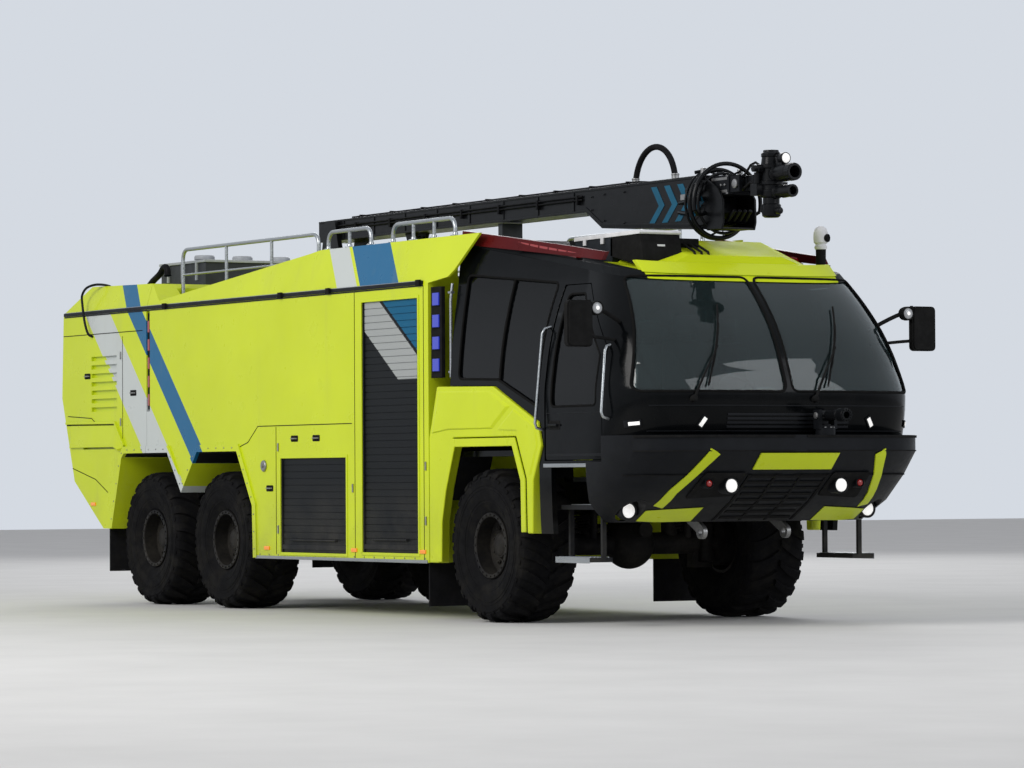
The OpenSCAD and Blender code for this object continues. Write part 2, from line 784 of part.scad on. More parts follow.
// Rails of one side: from X, to X, foot heights, top height, distance from the middle plane
rail_runs = [[-3900, -800, deck_z, deck_z + 580, deck_w / 2 - 60],
    [-240, 640, roof_z, roof_z + 170, (deck_w / 2 + body_y - lean_in) / 2 + 23],
    [1080, 2280, roof_z, roof_z + 170, (deck_w / 2 + body_y - lean_in) / 2 + 23]];
handrail_d = 40;
post_step = 1100;
module rod(a, b, d) {
    v = b - a;
    n = norm(v);
    translate(a)
        rotate([0, acos(v[2] / n), atan2(v[1], v[0])])
            cylinder(d = d, h = n);
}

// Ladder below the slanting back: side outline with its top against the body
ladder_x = -6150;
ladder_y = [-980, -640];
function back_z(x) = 1280 + (-5850 - x) * 900 / 325 - 2 * seat_gap;
module ladder() {
    for (y = ladder_y)
        side_plate([[ladder_x - 15, 860], [ladder_x + 15, 860], [ladder_x + 15, back_z(ladder_x + 15)],
            [ladder_x - 15, back_z(ladder_x - 15)]], y - 15, y + 15);
    for (k = [0 : 3])
        translate([ladder_x, 0, 930 + 300 * k])
            tube_y(28, ladder_y[0], ladder_y[1]);
}

module handrails() color(rail_grey) {
    ladder();
    both_sides()
        for (r = rail_runs) {
            rod([r[0], r[4], r[3] - 20], [r[1], r[4], r[3] - 20], handrail_d);
            for (k = [0 : ceil((r[1] - r[0]) / post_step)])
                let (x = r[0] + k * (r[1] - r[0]) / ceil((r[1] - r[0]) / post_step))
                rod([x, r[4], r[2]], [x, r[4], r[3] - 20], handrail_d);
            for (x = [r[0], r[1]])
                translate([x, r[4], r[3] - 20])
                    sphere(d = handrail_d);
        }
}

function rear_roof_at(x) = 3360 - 30 * (x - roof_back_x) / (hump_front_x - roof_back_x);
module roof_equipment() color(steel_grey) {
    // Locker beside the boom on the cab roof
    side_plate([[3700, roof_at(3700)], [4330, roof_at(4330)], [4330, 3400], [3700, 3400]], -900, -500);
    // Camera on a stalk
    side_plate([[4640, roof_at(4640)], [4760, roof_at(4760)], [4760, 3160], [4640, 3160]], 980, 1100);
    translate([4700, 1040, 3160 - eps])
        cylinder(d = 70, h = 160);
    // Rest for the boom on the walkway
    box([880, -170, deck_z], [1040, 170, deck_z + 60]);
    box([920, -110, deck_z + 60 - eps], [1000, 110, boom_low - 8]);
    // Locker at the back of the rear cover
    side_plate([[-5400, rear_roof_at(-5400) + seat_gap], [-4300, rear_roof_at(-4300) + seat_gap],
        [-4300, 3600], [-5400, 3600]],
        -700, 700);
}

// Boom

boom_low = boom_z - boom_h / 2;
boom_rear_x = boom_x - 350;
boom_front_x = boom_x + boom_len;
yoke_y = boom_w / 2 + 6;
yoke_plate = 50;
turn_h = 140;
lift_foot = [boom_x + 520, 0, boom_z - 495];
lift_eye = [boom_x + 1500, 0, boom_z - 170];
module boom_turntable() color(black) {
    difference() {
        union() {
            translate([boom_x, 0, deck_z])
                cylinder(d = turntable_d, h = turn_h);
            both_sides()
                side_plate([[boom_x - 260, deck_z + turn_h - 1], [boom_x + 300, deck_z + turn_h - 1],
                    [boom_x + 110, boom_z + 90], [boom_x - 110, boom_z + 90]], yoke_y, yoke_y + yoke_plate);
            both_sides()
                side_plate([[boom_x + 200, deck_z + turn_h - 60], [boom_x + 580, deck_z + turn_h - 60],
                    [boom_x + 580, boom_z - 435], [boom_x + 460, boom_z - 435], [boom_x + 200, deck_z + turn_h + 20]], 65, 95);
            box([boom_x + 200, -95, deck_z + 40], [boom_x + 580, 95, deck_z + turn_h - 50]);
        }
        translate([boom_x, 0, boom_z])
            tube_y(boom_pin_d, -400, 400);
        translate(lift_foot)
            tube_y(40, -200, 200);
    }
    translate([boom_x, 0, boom_z])
        tube_y(boom_pin_d, -yoke_y - yoke_plate, yoke_y + yoke_plate);
    translate(lift_foot)
        tube_y(40, -95, 95);
}

shroud_x0 = boom_x + 5050;
shroud_x1 = boom_x + 5350;
hoop_at = [boom_front_x + 190, 0, boom_z - 145];
hoop_r = 300;
hoop_d = 40;
module boom_main() color(black)
    difference() {
        union() {
            box([boom_rear_x, -boom_w / 2, boom_low], [boom_front_x, boom_w / 2, boom_low + boom_h]);
            // Deep tip with the hose tray
            side_plate([[shroud_x0, boom_low + 5], [shroud_x1, boom_z - 270], [boom_front_x, boom_z - 355],
                [boom_front_x + 260, boom_z - 225],
                [boom_front_x + 180, boom_low + boom_h], [shroud_x0, boom_low + boom_h]],
                -boom_w / 2 - 25, boom_w / 2 + 25);
            // Hoop round the tip, held at both sides
            translate(hoop_at)
                rotate([0, 90, 0])
                    rotate_extrude()
                        translate([hoop_r, 0])
                            circle(d = hoop_d, $fn = 16);
            both_sides()
                box([hoop_at[0] - 60, boom_w / 2 + 5, hoop_at[2] + 20], [hoop_at[0] - 5, hoop_r, hoop_at[2] + 60]);
            both_sides()
                side_plate([[lift_eye[0] - 110, boom_low + 1], [lift_eye[0] - 50, lift_eye[2] - 40],
                    [lift_eye[0] + 50, lift_eye[2] - 40], [lift_eye[0] + 110, boom_low + 1]], 50, 80);
        }
        // Bore of the tube, open at the tip
        box([boom_rear_x + 500, -boom_w / 2 + boom_wall, boom_low + boom_wall],
            [boom_front_x + 300, boom_w / 2 - boom_wall, boom_low + boom_h - boom_wall]);
        translate([boom_x, 0, boom_z])
            tube_y(boom_pin_d + 2 * pin_gap, -400, 400);
    }

slide_w = boom_w - 2 * boom_wall - 2 * boom_gap;
slide_h = boom_h - 2 * boom_wall - 2 * boom_gap;
slide_rear_x = boom_x + 700;
slide_front_x = boom_front_x + 560;
head_pin = [slide_front_x + 90, 0, boom_z];
pad_gap = 0.3;
pad_len = 120;
module boom_extension() color(steel_grey) {
    box([slide_rear_x, -slide_w / 2, boom_z - slide_h / 2], [slide_front_x, slide_w / 2, boom_z + slide_h / 2]);
    // Wear pads at its back end, which slide in the outer boom
    box([slide_rear_x, -slide_w / 2 - boom_gap + pad_gap, boom_z - slide_h / 2 - boom_gap + pad_gap],
        [slide_rear_x + pad_len, slide_w / 2 + boom_gap - pad_gap, boom_z + slide_h / 2 + boom_gap - pad_gap]);
    difference() {
        both_sides()
            side_plate([[slide_front_x - 200, boom_z - 70], [head_pin[0] + 60, boom_z - 70],
                [head_pin[0] + 60, boom_z + 70], [slide_front_x - 200, boom_z + 70]], 90, 120);
        translate(head_pin)
            tube_y(50, -200, 200);
    }
    translate(head_pin)
        tube_y(50, -120, 120);
}

module boom_head() color(black)
    difference() {
        union() {
            translate(head_pin)
                tube_y(130, -84, 84);
            translate(head_pin)
                box([0, -60, -55], [330, 60, 55]);
            // Upper lamp and lower nozzles
            translate(head_pin + [380, 0, -150])
                cylinder(d = 200, h = 420);
            translate(head_pin + [420, 0, 60])
                tube_x(150, 0, 330);
            translate(head_pin + [420, 0, -100])
                tube_x(110, 0, 300);
        }
        translate(head_pin)
            tube_y(50 + 2 * pin_gap, -200, 200);
        translate(head_pin + [560, 0, 60])
            tube_x(100, 0, 200);
    }

// Hose between the outer boom and the sliding one: a half ring that stands on the outer boom
hose_r = 340;
hose_d = 56;
module hose_loop() color(black)
    translate([boom_front_x - 1010, 90, boom_low + boom_h])
        rotate([90, 0, 0])
            rotate_extrude(angle = 180)
                translate([hose_r, 0])
                    circle(d = hose_d, $fn = 24);

lift_vec = lift_eye - lift_foot;
lift_len = norm(lift_vec);
lift_deg = atan2(lift_vec[2], lift_vec[0]);
barrel_len = 860;
module lift_barrel() color(black)
    translate(lift_foot)
        rotate([0, -lift_deg, 0])
            difference() {
                union() {
                    tube_y(90, -60, 60);
                    tube_x(lift_bore_d + 50, 0, barrel_len);
                }
                tube_y(40 + 2 * pin_gap, -100, 100);
                tube_x(lift_bore_d, 80, barrel_len + 1);
            }

module lift_rod() color(rail_grey)
    translate(lift_foot)
        rotate([0, -lift_deg, 0]) {
            tube_x(lift_bore_d - 2 * pin_gap, 120, 180);
            tube_x(46, 120, lift_len);
            translate([lift_len, 0, 0])
                tube_y(76, -40, 40);
        }

// Bumper turret

turret_at = [5850, 300, 1640];
turret_pin_z = 165;
turret_pin_d = 30;
module turret_base() color(charcoal)
    translate(turret_at)
        difference() {
            union() {
                cylinder(d = 170, h = 60);
                cylinder(d = 100, h = 90);
                both_sides()
                    box([-45, 62, 50], [45, 92, 215]);
                box([-45, -92, 50], [45, 92, 80]);
            }
            translate([0, 0, turret_pin_z])
                tube_y(turret_pin_d + 2 * seat_gap, -100, 100);
        }

module turret_nozzle() color(black)
    translate(turret_at + [0, 0, turret_pin_z])
        difference() {
            union() {
                tube_y(90, -56, 56);
                tube_y(turret_pin_d, -92, 92);
                tube_x(80, 0, 220);
                tube_x(110, 220, 325);
            }
            tube_x(60, 60, 330);
        }

tow_eye_d = 60;
tow_eye_w = 120;
tow_eye_t = 40;
tow_reach = 110;
front_eye = [5020, rail_y, 810];
rear_eye = [rail_rear_x - tow_reach, rail_y, rail_z + 60];
module tow_eye(at, plate)
    difference() {
        union() {
            side_plate(plate, at[1] - tow_eye_t / 2, at[1] + tow_eye_t / 2);
            translate(at)
                tube_y(tow_eye_w, -tow_eye_t / 2, tow_eye_t / 2);
        }
        translate(at)
            tube_y(tow_eye_d, -tow_eye_t, tow_eye_t);
    }
module tow_eyes() color(steel_grey)
    both_sides() {
        tow_eye(front_eye, [[rail_front_x, rail_z], [rail_front_x, rail_z + 100], [bumper_back_x, rail_z + 100],
            [front_eye[0] + 40, front_eye[2] + 45], [front_eye[0], front_eye[2] - tow_eye_w / 2],
            [front_eye[0] - 60, front_eye[2]]]);
        tow_eye(rear_eye, [[rail_rear_x, rail_z], [rear_eye[0], rail_z], [rear_eye[0], rail_z + tow_eye_w],
            [rail_rear_x, rail_z + tow_eye_w]]);
    }

chassis_frame();
engine_block();
front_axle();
rear_axles();
knuckle(-1);  // knuckle_right
knuckle(1);  // knuckle_left
place_wheel(front_axle_x, -1) rim();  // rim_front_right
place_wheel(front_axle_x, 1) rim();  // rim_front_left
place_wheel(middle_axle_x, -1) rim();  // rim_middle_right
place_wheel(middle_axle_x, 1) rim();  // rim_middle_left
place_wheel(rear_axle_x, -1) rim();  // rim_rear_right
place_wheel(rear_axle_x, 1) rim();  // rim_rear_left
place_wheel(front_axle_x, -1) tyre();  // tyre_front_right
place_wheel(front_axle_x, 1) tyre();  // tyre_front_left
place_wheel(middle_axle_x, -1) tyre();  // tyre_middle_right
place_wheel(middle_axle_x, 1) tyre();  // tyre_middle_left
place_wheel(rear_axle_x, -1) tyre();  // tyre_rear_right
place_wheel(rear_axle_x, 1) tyre();  // tyre_rear_left
body_tank();
body_rear();
roller_shutters();
lamps();
cab_shell();
cab_roof();
windscreen();
side_glass();
door(-1);  // door_right
door(1);  // door_left
door_glass(-1);  // door_glass_right
door_glass(1);  // door_glass_left
bumper();
fenders();
mudflaps();
entry_steps();
seats();
dashboard();
mirrors();
handrails();
roof_equipment();
boom_turntable();
boom_main();
boom_extension();
boom_head();
hose_loop();
lift_barrel();
lift_rod();
turret_base();
turret_nozzle();
tow_eyes();
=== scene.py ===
"""Looks of a three-axle airport fire truck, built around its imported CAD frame."""
import math

import bmesh
import bpy
import numpy as np
from mathutils import Matrix, Vector


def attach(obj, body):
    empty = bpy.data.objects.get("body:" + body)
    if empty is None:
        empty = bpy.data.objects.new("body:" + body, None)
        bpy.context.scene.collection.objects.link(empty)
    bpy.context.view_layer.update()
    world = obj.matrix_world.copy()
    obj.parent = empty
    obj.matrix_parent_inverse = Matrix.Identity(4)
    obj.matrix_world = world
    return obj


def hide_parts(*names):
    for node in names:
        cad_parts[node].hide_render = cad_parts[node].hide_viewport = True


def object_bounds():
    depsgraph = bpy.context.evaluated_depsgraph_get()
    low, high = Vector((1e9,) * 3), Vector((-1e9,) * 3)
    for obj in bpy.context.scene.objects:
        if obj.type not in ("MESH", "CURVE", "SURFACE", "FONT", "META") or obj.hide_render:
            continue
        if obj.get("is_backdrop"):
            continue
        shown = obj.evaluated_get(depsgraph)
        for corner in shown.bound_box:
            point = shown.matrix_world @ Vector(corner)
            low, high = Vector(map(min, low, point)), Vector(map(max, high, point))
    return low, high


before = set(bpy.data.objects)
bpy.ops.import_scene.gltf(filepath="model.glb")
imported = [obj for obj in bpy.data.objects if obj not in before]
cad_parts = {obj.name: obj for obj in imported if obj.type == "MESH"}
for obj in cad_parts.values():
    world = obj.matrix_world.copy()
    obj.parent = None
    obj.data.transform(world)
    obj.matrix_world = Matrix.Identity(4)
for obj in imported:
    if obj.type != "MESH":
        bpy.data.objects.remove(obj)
cad_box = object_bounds()
scene = bpy.context.scene
scene.view_settings.view_transform = "Standard"

# Measures shared with the CAD source, in metres
FRONT_X, MIDDLE_X, REAR_X = 3.1, -2.3, -3.99
AXLES = {"front": FRONT_X, "middle": MIDDLE_X, "rear": REAR_X}
SIDES = {"right": -1, "left": 1}
BOTH = (-1, 1)
WHEEL_R = 0.686
WHEEL_Y = 1.2
BODY_Y = 1.525
DECK_Z = 3.118

# Camera at the photograph's viewpoint, turned to the truck, with a longer lens
EYE = (35.675, -19.807, 1.264)
YAW, PITCH, ROLL = 2.7175, 0.0025, -0.0033
PHOTO_FOCAL = 1350.4
TRUCK_RIGHT, TRUCK_DOWN = 640 - 512, 349 - 384
ahead = Vector((math.cos(YAW) * math.cos(PITCH), math.sin(YAW) * math.cos(PITCH), -math.sin(PITCH)))
level = Vector((math.sin(YAW), -math.cos(YAW), 0.0))
upward = level.cross(ahead)
right = math.cos(ROLL) * level + math.sin(ROLL) * upward
up = -math.sin(ROLL) * level + math.cos(ROLL) * upward
aim = (ahead + TRUCK_RIGHT / PHOTO_FOCAL * right - TRUCK_DOWN / PHOTO_FOCAL * up).normalized()
side_way = (right - right.dot(aim) * aim).normalized()
up_way = side_way.cross(aim)
camera_data = bpy.data.cameras.new("camera")
camera_data.sensor_width = 36.0
camera_data.lens = 147.5
camera_data.clip_end = 400.0
camera = bpy.data.objects.new("camera", camera_data)
scene.collection.objects.link(camera)
camera.matrix_world = Matrix((*zip(side_way, up_way, -aim, EYE), (0, 0, 0, 1)))
scene.camera = camera


# Materials


class Look:
    """One procedural material and the nodes that feed it."""

    def __init__(self, name, color, **shader):
        self.mat = bpy.data.materials.new(name)
        self.mat.use_nodes = True
        self.tree = self.mat.node_tree
        self.shader = self.tree.nodes["Principled BSDF"]
        self.shader.inputs["Base Color"].default_value = (*color, 1.0)
        for key, value in shader.items():
            self.shader.inputs[key.replace("_", " ")].default_value = value
        self.mat.diffuse_color = (*color, 1.0)
        self.coord = self.tree.nodes.new("ShaderNodeTexCoord").outputs["Object"]

    def plug(self, value, socket):
        if hasattr(value, "is_linked"):
            self.tree.links.new(value, socket)
        elif isinstance(value, tuple) and len(value) == 3 and socket.type == "RGBA":
            socket.default_value = (*value, 1.0)
        else:
            socket.default_value = value

    def node(self, kind, inputs, output=0, **settings):
        """A node with its inputs set or linked; gives one of its outputs."""
        made = self.tree.nodes.new(kind)
        for key, value in settings.items():
            setattr(made, key, value)
        for key, value in inputs.items():
            self.plug(value, made.inputs[key])
        return made.outputs[output]

    def math(self, operation, a, b):
        return self.node("ShaderNodeMath", {0: a, 1: b}, operation=operation)

    def both(self, a, b):
        return self.math("MULTIPLY", a, b)

    def lean(self, x, z, slope):
        """A measure across bands that lean in the side view."""
        return self.math("ADD", x, self.both(z, slope))

    def axes(self):
        made = self.tree.nodes.new("ShaderNodeSeparateXYZ")
        self.plug(self.coord, made.inputs[0])
        return tuple(made.outputs)

    def noise(self, scale, detail=3.0, rough=0.55, stretch=None):
        way = self.coord
        if stretch:
            way = self.node("ShaderNodeMapping", {0: way, "Scale": stretch})
        return self.node("ShaderNodeTexNoise", {"Vector": way, "Scale": scale, "Detail": detail,
                                                "Roughness": rough},
                         "Fac")

    def span(self, value, low, high, to_low=0.0, to_high=1.0):
        return self.node("ShaderNodeMapRange", {0: value, 1: low, 2: high, 3: to_low, 4: to_high}, clamp=True)

    def patches(self, noise, *limits):
        """Noise of the given scale, detail and roughness, spread over a range."""
        return self.span(self.noise(*noise), *limits)

    def mix(self, share, a, b):
        return self.node("ShaderNodeMix", {0: share, 6: a, 7: b}, 2, data_type="RGBA")

    def shades(self, share, color, low, high):
        """Mixes a darker and a lighter shade of one colour."""
        return self.mix(share, *(tuple(min(1.0, c * k) for c in color) for k in (low, high)))

    def bump(self, height, distance, strength):
        self.plug(self.node("ShaderNodeBump", {"Strength": strength, "Distance": distance, "Height": height}),
                  self.shader.inputs["Normal"])

    def band(self, value, low, high, soft=0.002):
        """1 where the value lies between low and high, with crisp edges."""
        return self.both(self.span(value, low, low + soft), self.span(value, high - soft, high, 1.0, 0.0))

    def done(self, base, rough=None, grain=None, depth=0.0, strength=0.0):
        """The material, with its colour, roughness and bump plugged in."""
        if base is not None:
            self.plug(base, self.shader.inputs["Base Color"])
        if rough is not None:
            self.plug(rough, self.shader.inputs["Roughness"])
        if grain is not None:
            self.bump(grain, depth, strength)
        return self.mat


YELLOW = (0.560, 0.665, 0.014)
DUST = (0.16, 0.145, 0.115)
BLUE = (0.006, 0.115, 0.255)
SILVER = (0.52, 0.56, 0.55)
FADE = (0.9, 4.0, 0.6), 0.3, 0.7


def dusty(look, base, reach=1.5, most=0.45):
    """Road dust that thickens towards the ground, broken up by noise."""
    low = look.span(look.axes()[2], 0.35, reach, 1.0, 0.0)
    patch = look.patches((2.2, 5.0, 0.62), 0.35, 0.75)
    grit = look.patches((38.0, 3.0, 0.6), 0.3, 0.8, 0.55, 1.0)
    return look.mix(look.both(look.both(look.both(low, patch), grit), most), base, DUST)


def roof_paint(name):
    """Yellow over the windscreen, black behind it."""
    look = Look(name, YELLOW, Coat_Weight=0.03, Coat_Roughness=0.2, Specular_IOR_Level=0.06)
    x, y, _ = look.axes()
    yellow_part = look.both(look.span(x, 4.315, 4.320), look.band(y, -0.985, 0.985))
    bright = look.shades(look.patches(*FADE), YELLOW, 0.95, 1.05)
    return look.done(look.mix(yellow_part, (0.006, 0.007, 0.008), bright),
                     look.patches((5.0, 4.0, 0.6), 0.25, 0.75, 0.42, 0.60), look.noise(160.0, 2.0, 0.5),
                     0.0006, 0.25)


def equipment_paint(name):
    """Grey lockers, the one on the cab roof darker."""
    look = Look(name, (0.07, 0.08, 0.09), Specular_IOR_Level=0.12)
    shade = look.patches((6.0, 5.0, 0.6), 0.3, 0.75)
    pale = look.mix(shade, (0.030, 0.033, 0.037), (0.048, 0.052, 0.058))
    dark = look.mix(shade, (0.012, 0.015, 0.018), (0.022, 0.027, 0.032))
    return look.done(look.mix(look.span(look.axes()[0], 3.30, 3.32), pale, dark),
                     look.patches((14.0, 4.0, 0.65), 0.3, 0.75, 0.36, 0.55), look.noise(220.0, 3.0, 0.6),
                     0.0004, 0.6)


def painted(name, color, striped=False):
    look = Look(name, color, Coat_Weight=0.12, Coat_Roughness=0.08, Specular_IOR_Level=0.16)
    base = look.shades(look.patches(*FADE), color, 0.95, 1.05)
    if striped:
        x, _, z = look.axes()
        # Front band on the roof edge, then across the head of the tall shutter
        lean = look.lean(x, z, 0.93)
        high = look.span(z, 3.069, 3.072)
        base = look.mix(look.both(look.band(lean, 3.17, 3.58), high), base, SILVER)
        base = look.mix(look.both(look.band(lean, 3.64, 4.41), high), base, BLUE)
        # Rear band from the roof down to the arch
        lean = look.lean(x, z, 1.0)
        under_gutter = look.span(z, 3.060, 3.063, 1.0, 0.0)
        base = look.mix(look.both(look.band(lean, -2.50, -1.86), under_gutter), base, SILVER)
        base = look.mix(look.band(lean, -1.42, -1.06), base, BLUE)
    streak = look.patches((3.0, 4.0, 0.7, (1.0, 1.0, 0.12)), 0.56, 0.8, 0.0, 0.16)
    base = look.mix(streak, base, (0.30, 0.30, 0.16))
    return look.done(dusty(look, base, 1.45, 0.5), look.patches((5.0, 4.0, 0.6), 0.25, 0.75, 0.24, 0.40),
                     look.noise(160.0, 2.0, 0.5), 0.0006, 0.25)


def gloss_black(name):
    look = Look(name, (0.002, 0.0025, 0.003), Coat_Weight=0.05, Coat_Roughness=0.03, Specular_IOR_Level=0.07)
    base = look.mix(look.patches((3.0, 5.0, 0.6), 0.4, 0.8), (0.0015, 0.002, 0.0025), (0.004, 0.0045, 0.005))
    return look.done(dusty(look, base, 1.3, 0.2), look.patches((9.0, 4.0, 0.6), 0.3, 0.8, 0.10, 0.26),
                     look.noise(90.0, 2.0, 0.5), 0.0006, 0.15)


def satin(name, color, metallic=0.0, low=0.35, high=0.55, grain=220.0, depth=0.0004, reach=1.2, most=0.5,
          coat=0.0):
    look = Look(name, color, Metallic=metallic, Coat_Weight=coat, Coat_Roughness=0.2, Specular_IOR_Level=0.09)
    base = look.shades(look.patches((6.0, 5.0, 0.6), 0.3, 0.75), color, 0.82, 1.15)
    return look.done(dusty(look, base, reach, most), look.patches((14.0, 4.0, 0.65), 0.3, 0.75, low, high),
                     look.noise(grain, 3.0, 0.6), depth, 0.6)


def rubber(name, color=(0.005, 0.005, 0.0055), dust=0.5):
    look = Look(name, color, Specular_IOR_Level=0.05)
    base = look.shades(look.patches((11.0, 5.0, 0.65), 0.3, 0.75), color, 1.0, 1.9)
    caked = look.both(look.patches((4.5, 6.0, 0.7), 0.48, 0.72), dust)
    return look.done(look.mix(caked, base, (0.026, 0.024, 0.020)),
                     look.patches((24.0, 4.0, 0.6), 0.3, 0.75, 0.72, 0.92),
                     look.noise(120.0, 4.0, 0.7), 0.0012, 0.6)


def glazing(name, color=(0.11, 0.17, 0.175), index=1.38):
    look = Look(name, color, Transmission_Weight=0.9, IOR=index, Roughness=0.02, Coat_Weight=0.05)
    smear = look.patches((2.6, 5.0, 0.65), 0.45, 0.8)
    return look.done(look.shades(smear, color, 1.0, 0.86),
                     look.patches((7.0, 4.0, 0.6), 0.45, 0.85, 0.012, 0.05))


def brushed(name, color, low=0.22, high=0.42):
    look = Look(name, color, Metallic=0.9)
    line = look.noise(60.0, 3.0, 0.6, (0.05, 1.0, 1.0))
    return look.done(look.shades(look.span(line, 0.3, 0.7), color, 0.85, 1.0),
                     look.span(line, 0.3, 0.7, low, high),
                     line, 0.0003, 0.4)


def cloth(name, color):
    look = Look(name, color, Sheen_Weight=0.3, Sheen_Roughness=0.5, Roughness=0.9)
    thread = look.node("ShaderNodeTexWave", {"Vector": look.coord, "Scale": 90.0, "Distortion": 1.5}, "Fac",
                       wave_type="BANDS", bands_direction="DIAGONAL")
    base = look.shades(look.patches((7.0, 4.0, 0.6), 0.3, 0.7), color, 0.75, 1.0)
    base = look.mix(look.span(thread, 0.0, 1.0, 0.0, 0.35), base, tuple(c * 0.5 for c in color))
    return look.done(base, None, thread, 0.0006, 0.6)


def glowing(name, color, strength, base):
    look = Look(name, base, Roughness=0.12, Coat_Weight=0.6)
    spots = look.patches((70.0, 2.0, 0.5), 0.3, 0.7)
    look.plug(look.shades(spots, color, 0.75, 1.0), look.shader.inputs["Emission Color"])
    look.shader.inputs["Emission Strength"].default_value = strength
    return look.done(None, look.span(spots, 0.0, 1.0, 0.10, 0.22))


def slatted(name):
    """Dark anodised roller shutter slats."""
    look = Look(name, (0.006, 0.007, 0.008), Specular_IOR_Level=0.08)
    x, _, z = look.axes()
    shade = look.patches((30.0, 3.0, 0.6, (0.05, 1.0, 1.0)), 0.3, 0.7)
    base = look.mix(shade, (0.005, 0.006, 0.007), (0.010, 0.012, 0.014))
    lean = look.lean(x, z, 1.42)
    tall = look.both(look.span(x, 0.70, 0.72), look.span(z, 2.2, 2.21))
    base = look.mix(look.both(look.band(lean, 4.62, 5.30), tall), base, (0.33, 0.35, 0.35))
    base = look.mix(look.both(look.band(lean, 5.36, 6.10), tall), base, (0.008, 0.10, 0.20))
    return look.done(dusty(look, base, 1.3, 0.45), look.span(shade, 0.0, 1.0, 0.34, 0.5), shade, 0.0004, 0.4)


MATS = {
    "body": painted("paint_yellow_striped", YELLOW, True),
    "yellow": painted("paint_yellow", YELLOW),
    "cab": gloss_black("paint_black"),
    "charcoal": satin("charcoal_metal", (0.009, 0.010, 0.012), 0.1, 0.34, 0.5),
    "frame": satin("chassis_black", (0.006, 0.006, 0.007), 0.1, 0.5, 0.75, 120.0, 0.0008, 1.5, 0.35),
    "boom": satin("boom_black", (0.005, 0.0055, 0.0065), 0.0, 0.26, 0.42, 200.0, 0.0003, 0.9, 0.3, 0.08),
    "steel": satin("worn_steel", (0.30, 0.30, 0.30), 0.8, 0.32, 0.5, 180.0, 0.0003),
    "grey": satin("equipment_grey", (0.36, 0.38, 0.40), 0.1, 0.35, 0.5),
    "rail": brushed("rail_metal", (0.40, 0.42, 0.43)),
    "chrome": brushed("rod_chrome", (0.80, 0.81, 0.82), 0.06, 0.14),
    "tyre": rubber("tyre_rubber"),
    "flap": rubber("flap_rubber", (0.008, 0.008, 0.009), 0.35),
    "hose": rubber("hose_rubber", (0.007, 0.007, 0.008), 0.1),
    "seal": rubber("window_seal", (0.005, 0.005, 0.005), 0.08),
    "rim": satin("rim_black", (0.007, 0.007, 0.008), 0.1, 0.38, 0.6, 150.0, 0.0004, 1.4, 0.4),
    "glass": glazing("tinted_glass"),
    "side_glass": glazing("dark_glass", (0.012, 0.015, 0.017), 1.22),
    "cab_roof": roof_paint("paint_cab_roof"),
    "equipment": equipment_paint("equipment_paint"),
    "shutter": slatted("shutter_slats"),
    "seat": cloth("seat_fabric", (0.045, 0.048, 0.055)),
    "dash": satin("dash_plastic", (0.030, 0.031, 0.033), 0.0, 0.5, 0.7, 300.0, 0.0006),
    "lamp": glowing("headlamp_light", (1.0, 0.98, 0.94), 0.75, (0.55, 0.56, 0.57)),
    "lens": glowing("lamp_lens", (0.80, 0.83, 0.85), 0.10, (0.26, 0.27, 0.28)),
    "blue_lamp": glowing("blue_lamp", (0.012, 0.035, 0.60), 0.45, (0.006, 0.014, 0.25)),
    "red_lamp": glowing("red_lamp", (0.40, 0.008, 0.006), 0.15, (0.22, 0.006, 0.005)),
    "amber": glowing("amber_lamp", (0.9, 0.28, 0.01), 0.4, (0.7, 0.22, 0.01)),
    "silver": satin("reflective_silver", SILVER, 0.1, 0.3, 0.42, 400.0, 0.0002, 1.2, 0.4),
    "stripe_blue": painted("stripe_blue", BLUE),
    "chevron": satin("chevron_blue", (0.012, 0.095, 0.165), 0.1, 0.3, 0.45, 200.0, 0.0002),
    "dark_red": satin("dark_red", (0.075, 0.004, 0.005), 0.0, 0.25, 0.4, 90.0, 0.0003),
    "white": satin("white_plastic", (0.70, 0.71, 0.72), 0.0, 0.3, 0.45, 90.0, 0.0002),
    "seam": rubber("seam_black", (0.008, 0.008, 0.008), 0.0),
    "mirror": brushed("mirror_face", (0.75, 0.78, 0.80), 0.02, 0.05),
}
# Slot names, each with the looks listed under it
SLOTS = {
    "body_yellow": "yellow stripe_blue silver", "black_gloss": "cab", "charcoal_metal": "charcoal",
    "frame_black": "frame", "boom_black": "boom chevron", "boom_steel": "steel", "rail_metal": "rail",
    "flap_rubber": "flap seam seal", "hose_rubber": "hose", "tyre": "tyre", "rim_black": "rim",
    "glass": "glass side_glass mirror", "lamp": "lamp lens blue_lamp red_lamp amber dark_red",
    "equipment_grey": "grey white", "dash_plastic": "dash", "seat_fabric": "seat",
}
SLOT_OF = {look: slot for slot, looks in SLOTS.items() for look in looks.split()}

CAD_LOOKS = {
    "frame": "chassis_frame front_axle rear_axles knuckle_right knuckle_left",
    "steel": "engine_block tow_eyes",
    "body": "body_tank body_rear", "shutter": "roller_shutters", "blue_lamp": "lamps",
    "cab": "cab_shell door_right door_left mirrors", "cab_roof": "cab_roof",
    "glass": "windscreen side_glass door_glass_right door_glass_left",
    "charcoal": "bumper entry_steps boom_extension turret_base", "yellow": "fenders", "flap": "mudflaps",
    "seat": "seats", "dash": "dashboard", "rail": "handrails", "equipment": "roof_equipment",
    "boom": "boom_turntable boom_main boom_head lift_barrel turret_nozzle", "hose": "hose_loop",
    "chrome": "lift_rod",
    "rim": " ".join(f"rim_{axle}_{side}" for axle in AXLES for side in SIDES),
    "tyre": " ".join(f"tyre_{axle}_{side}" for axle in AXLES for side in SIDES),
}
for look_key, node_names in CAD_LOOKS.items():
    for node_name in node_names.split():
        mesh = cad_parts[node_name].data
        mesh.materials.clear()
        mesh.materials.append(MATS[look_key])


# Mesh forms


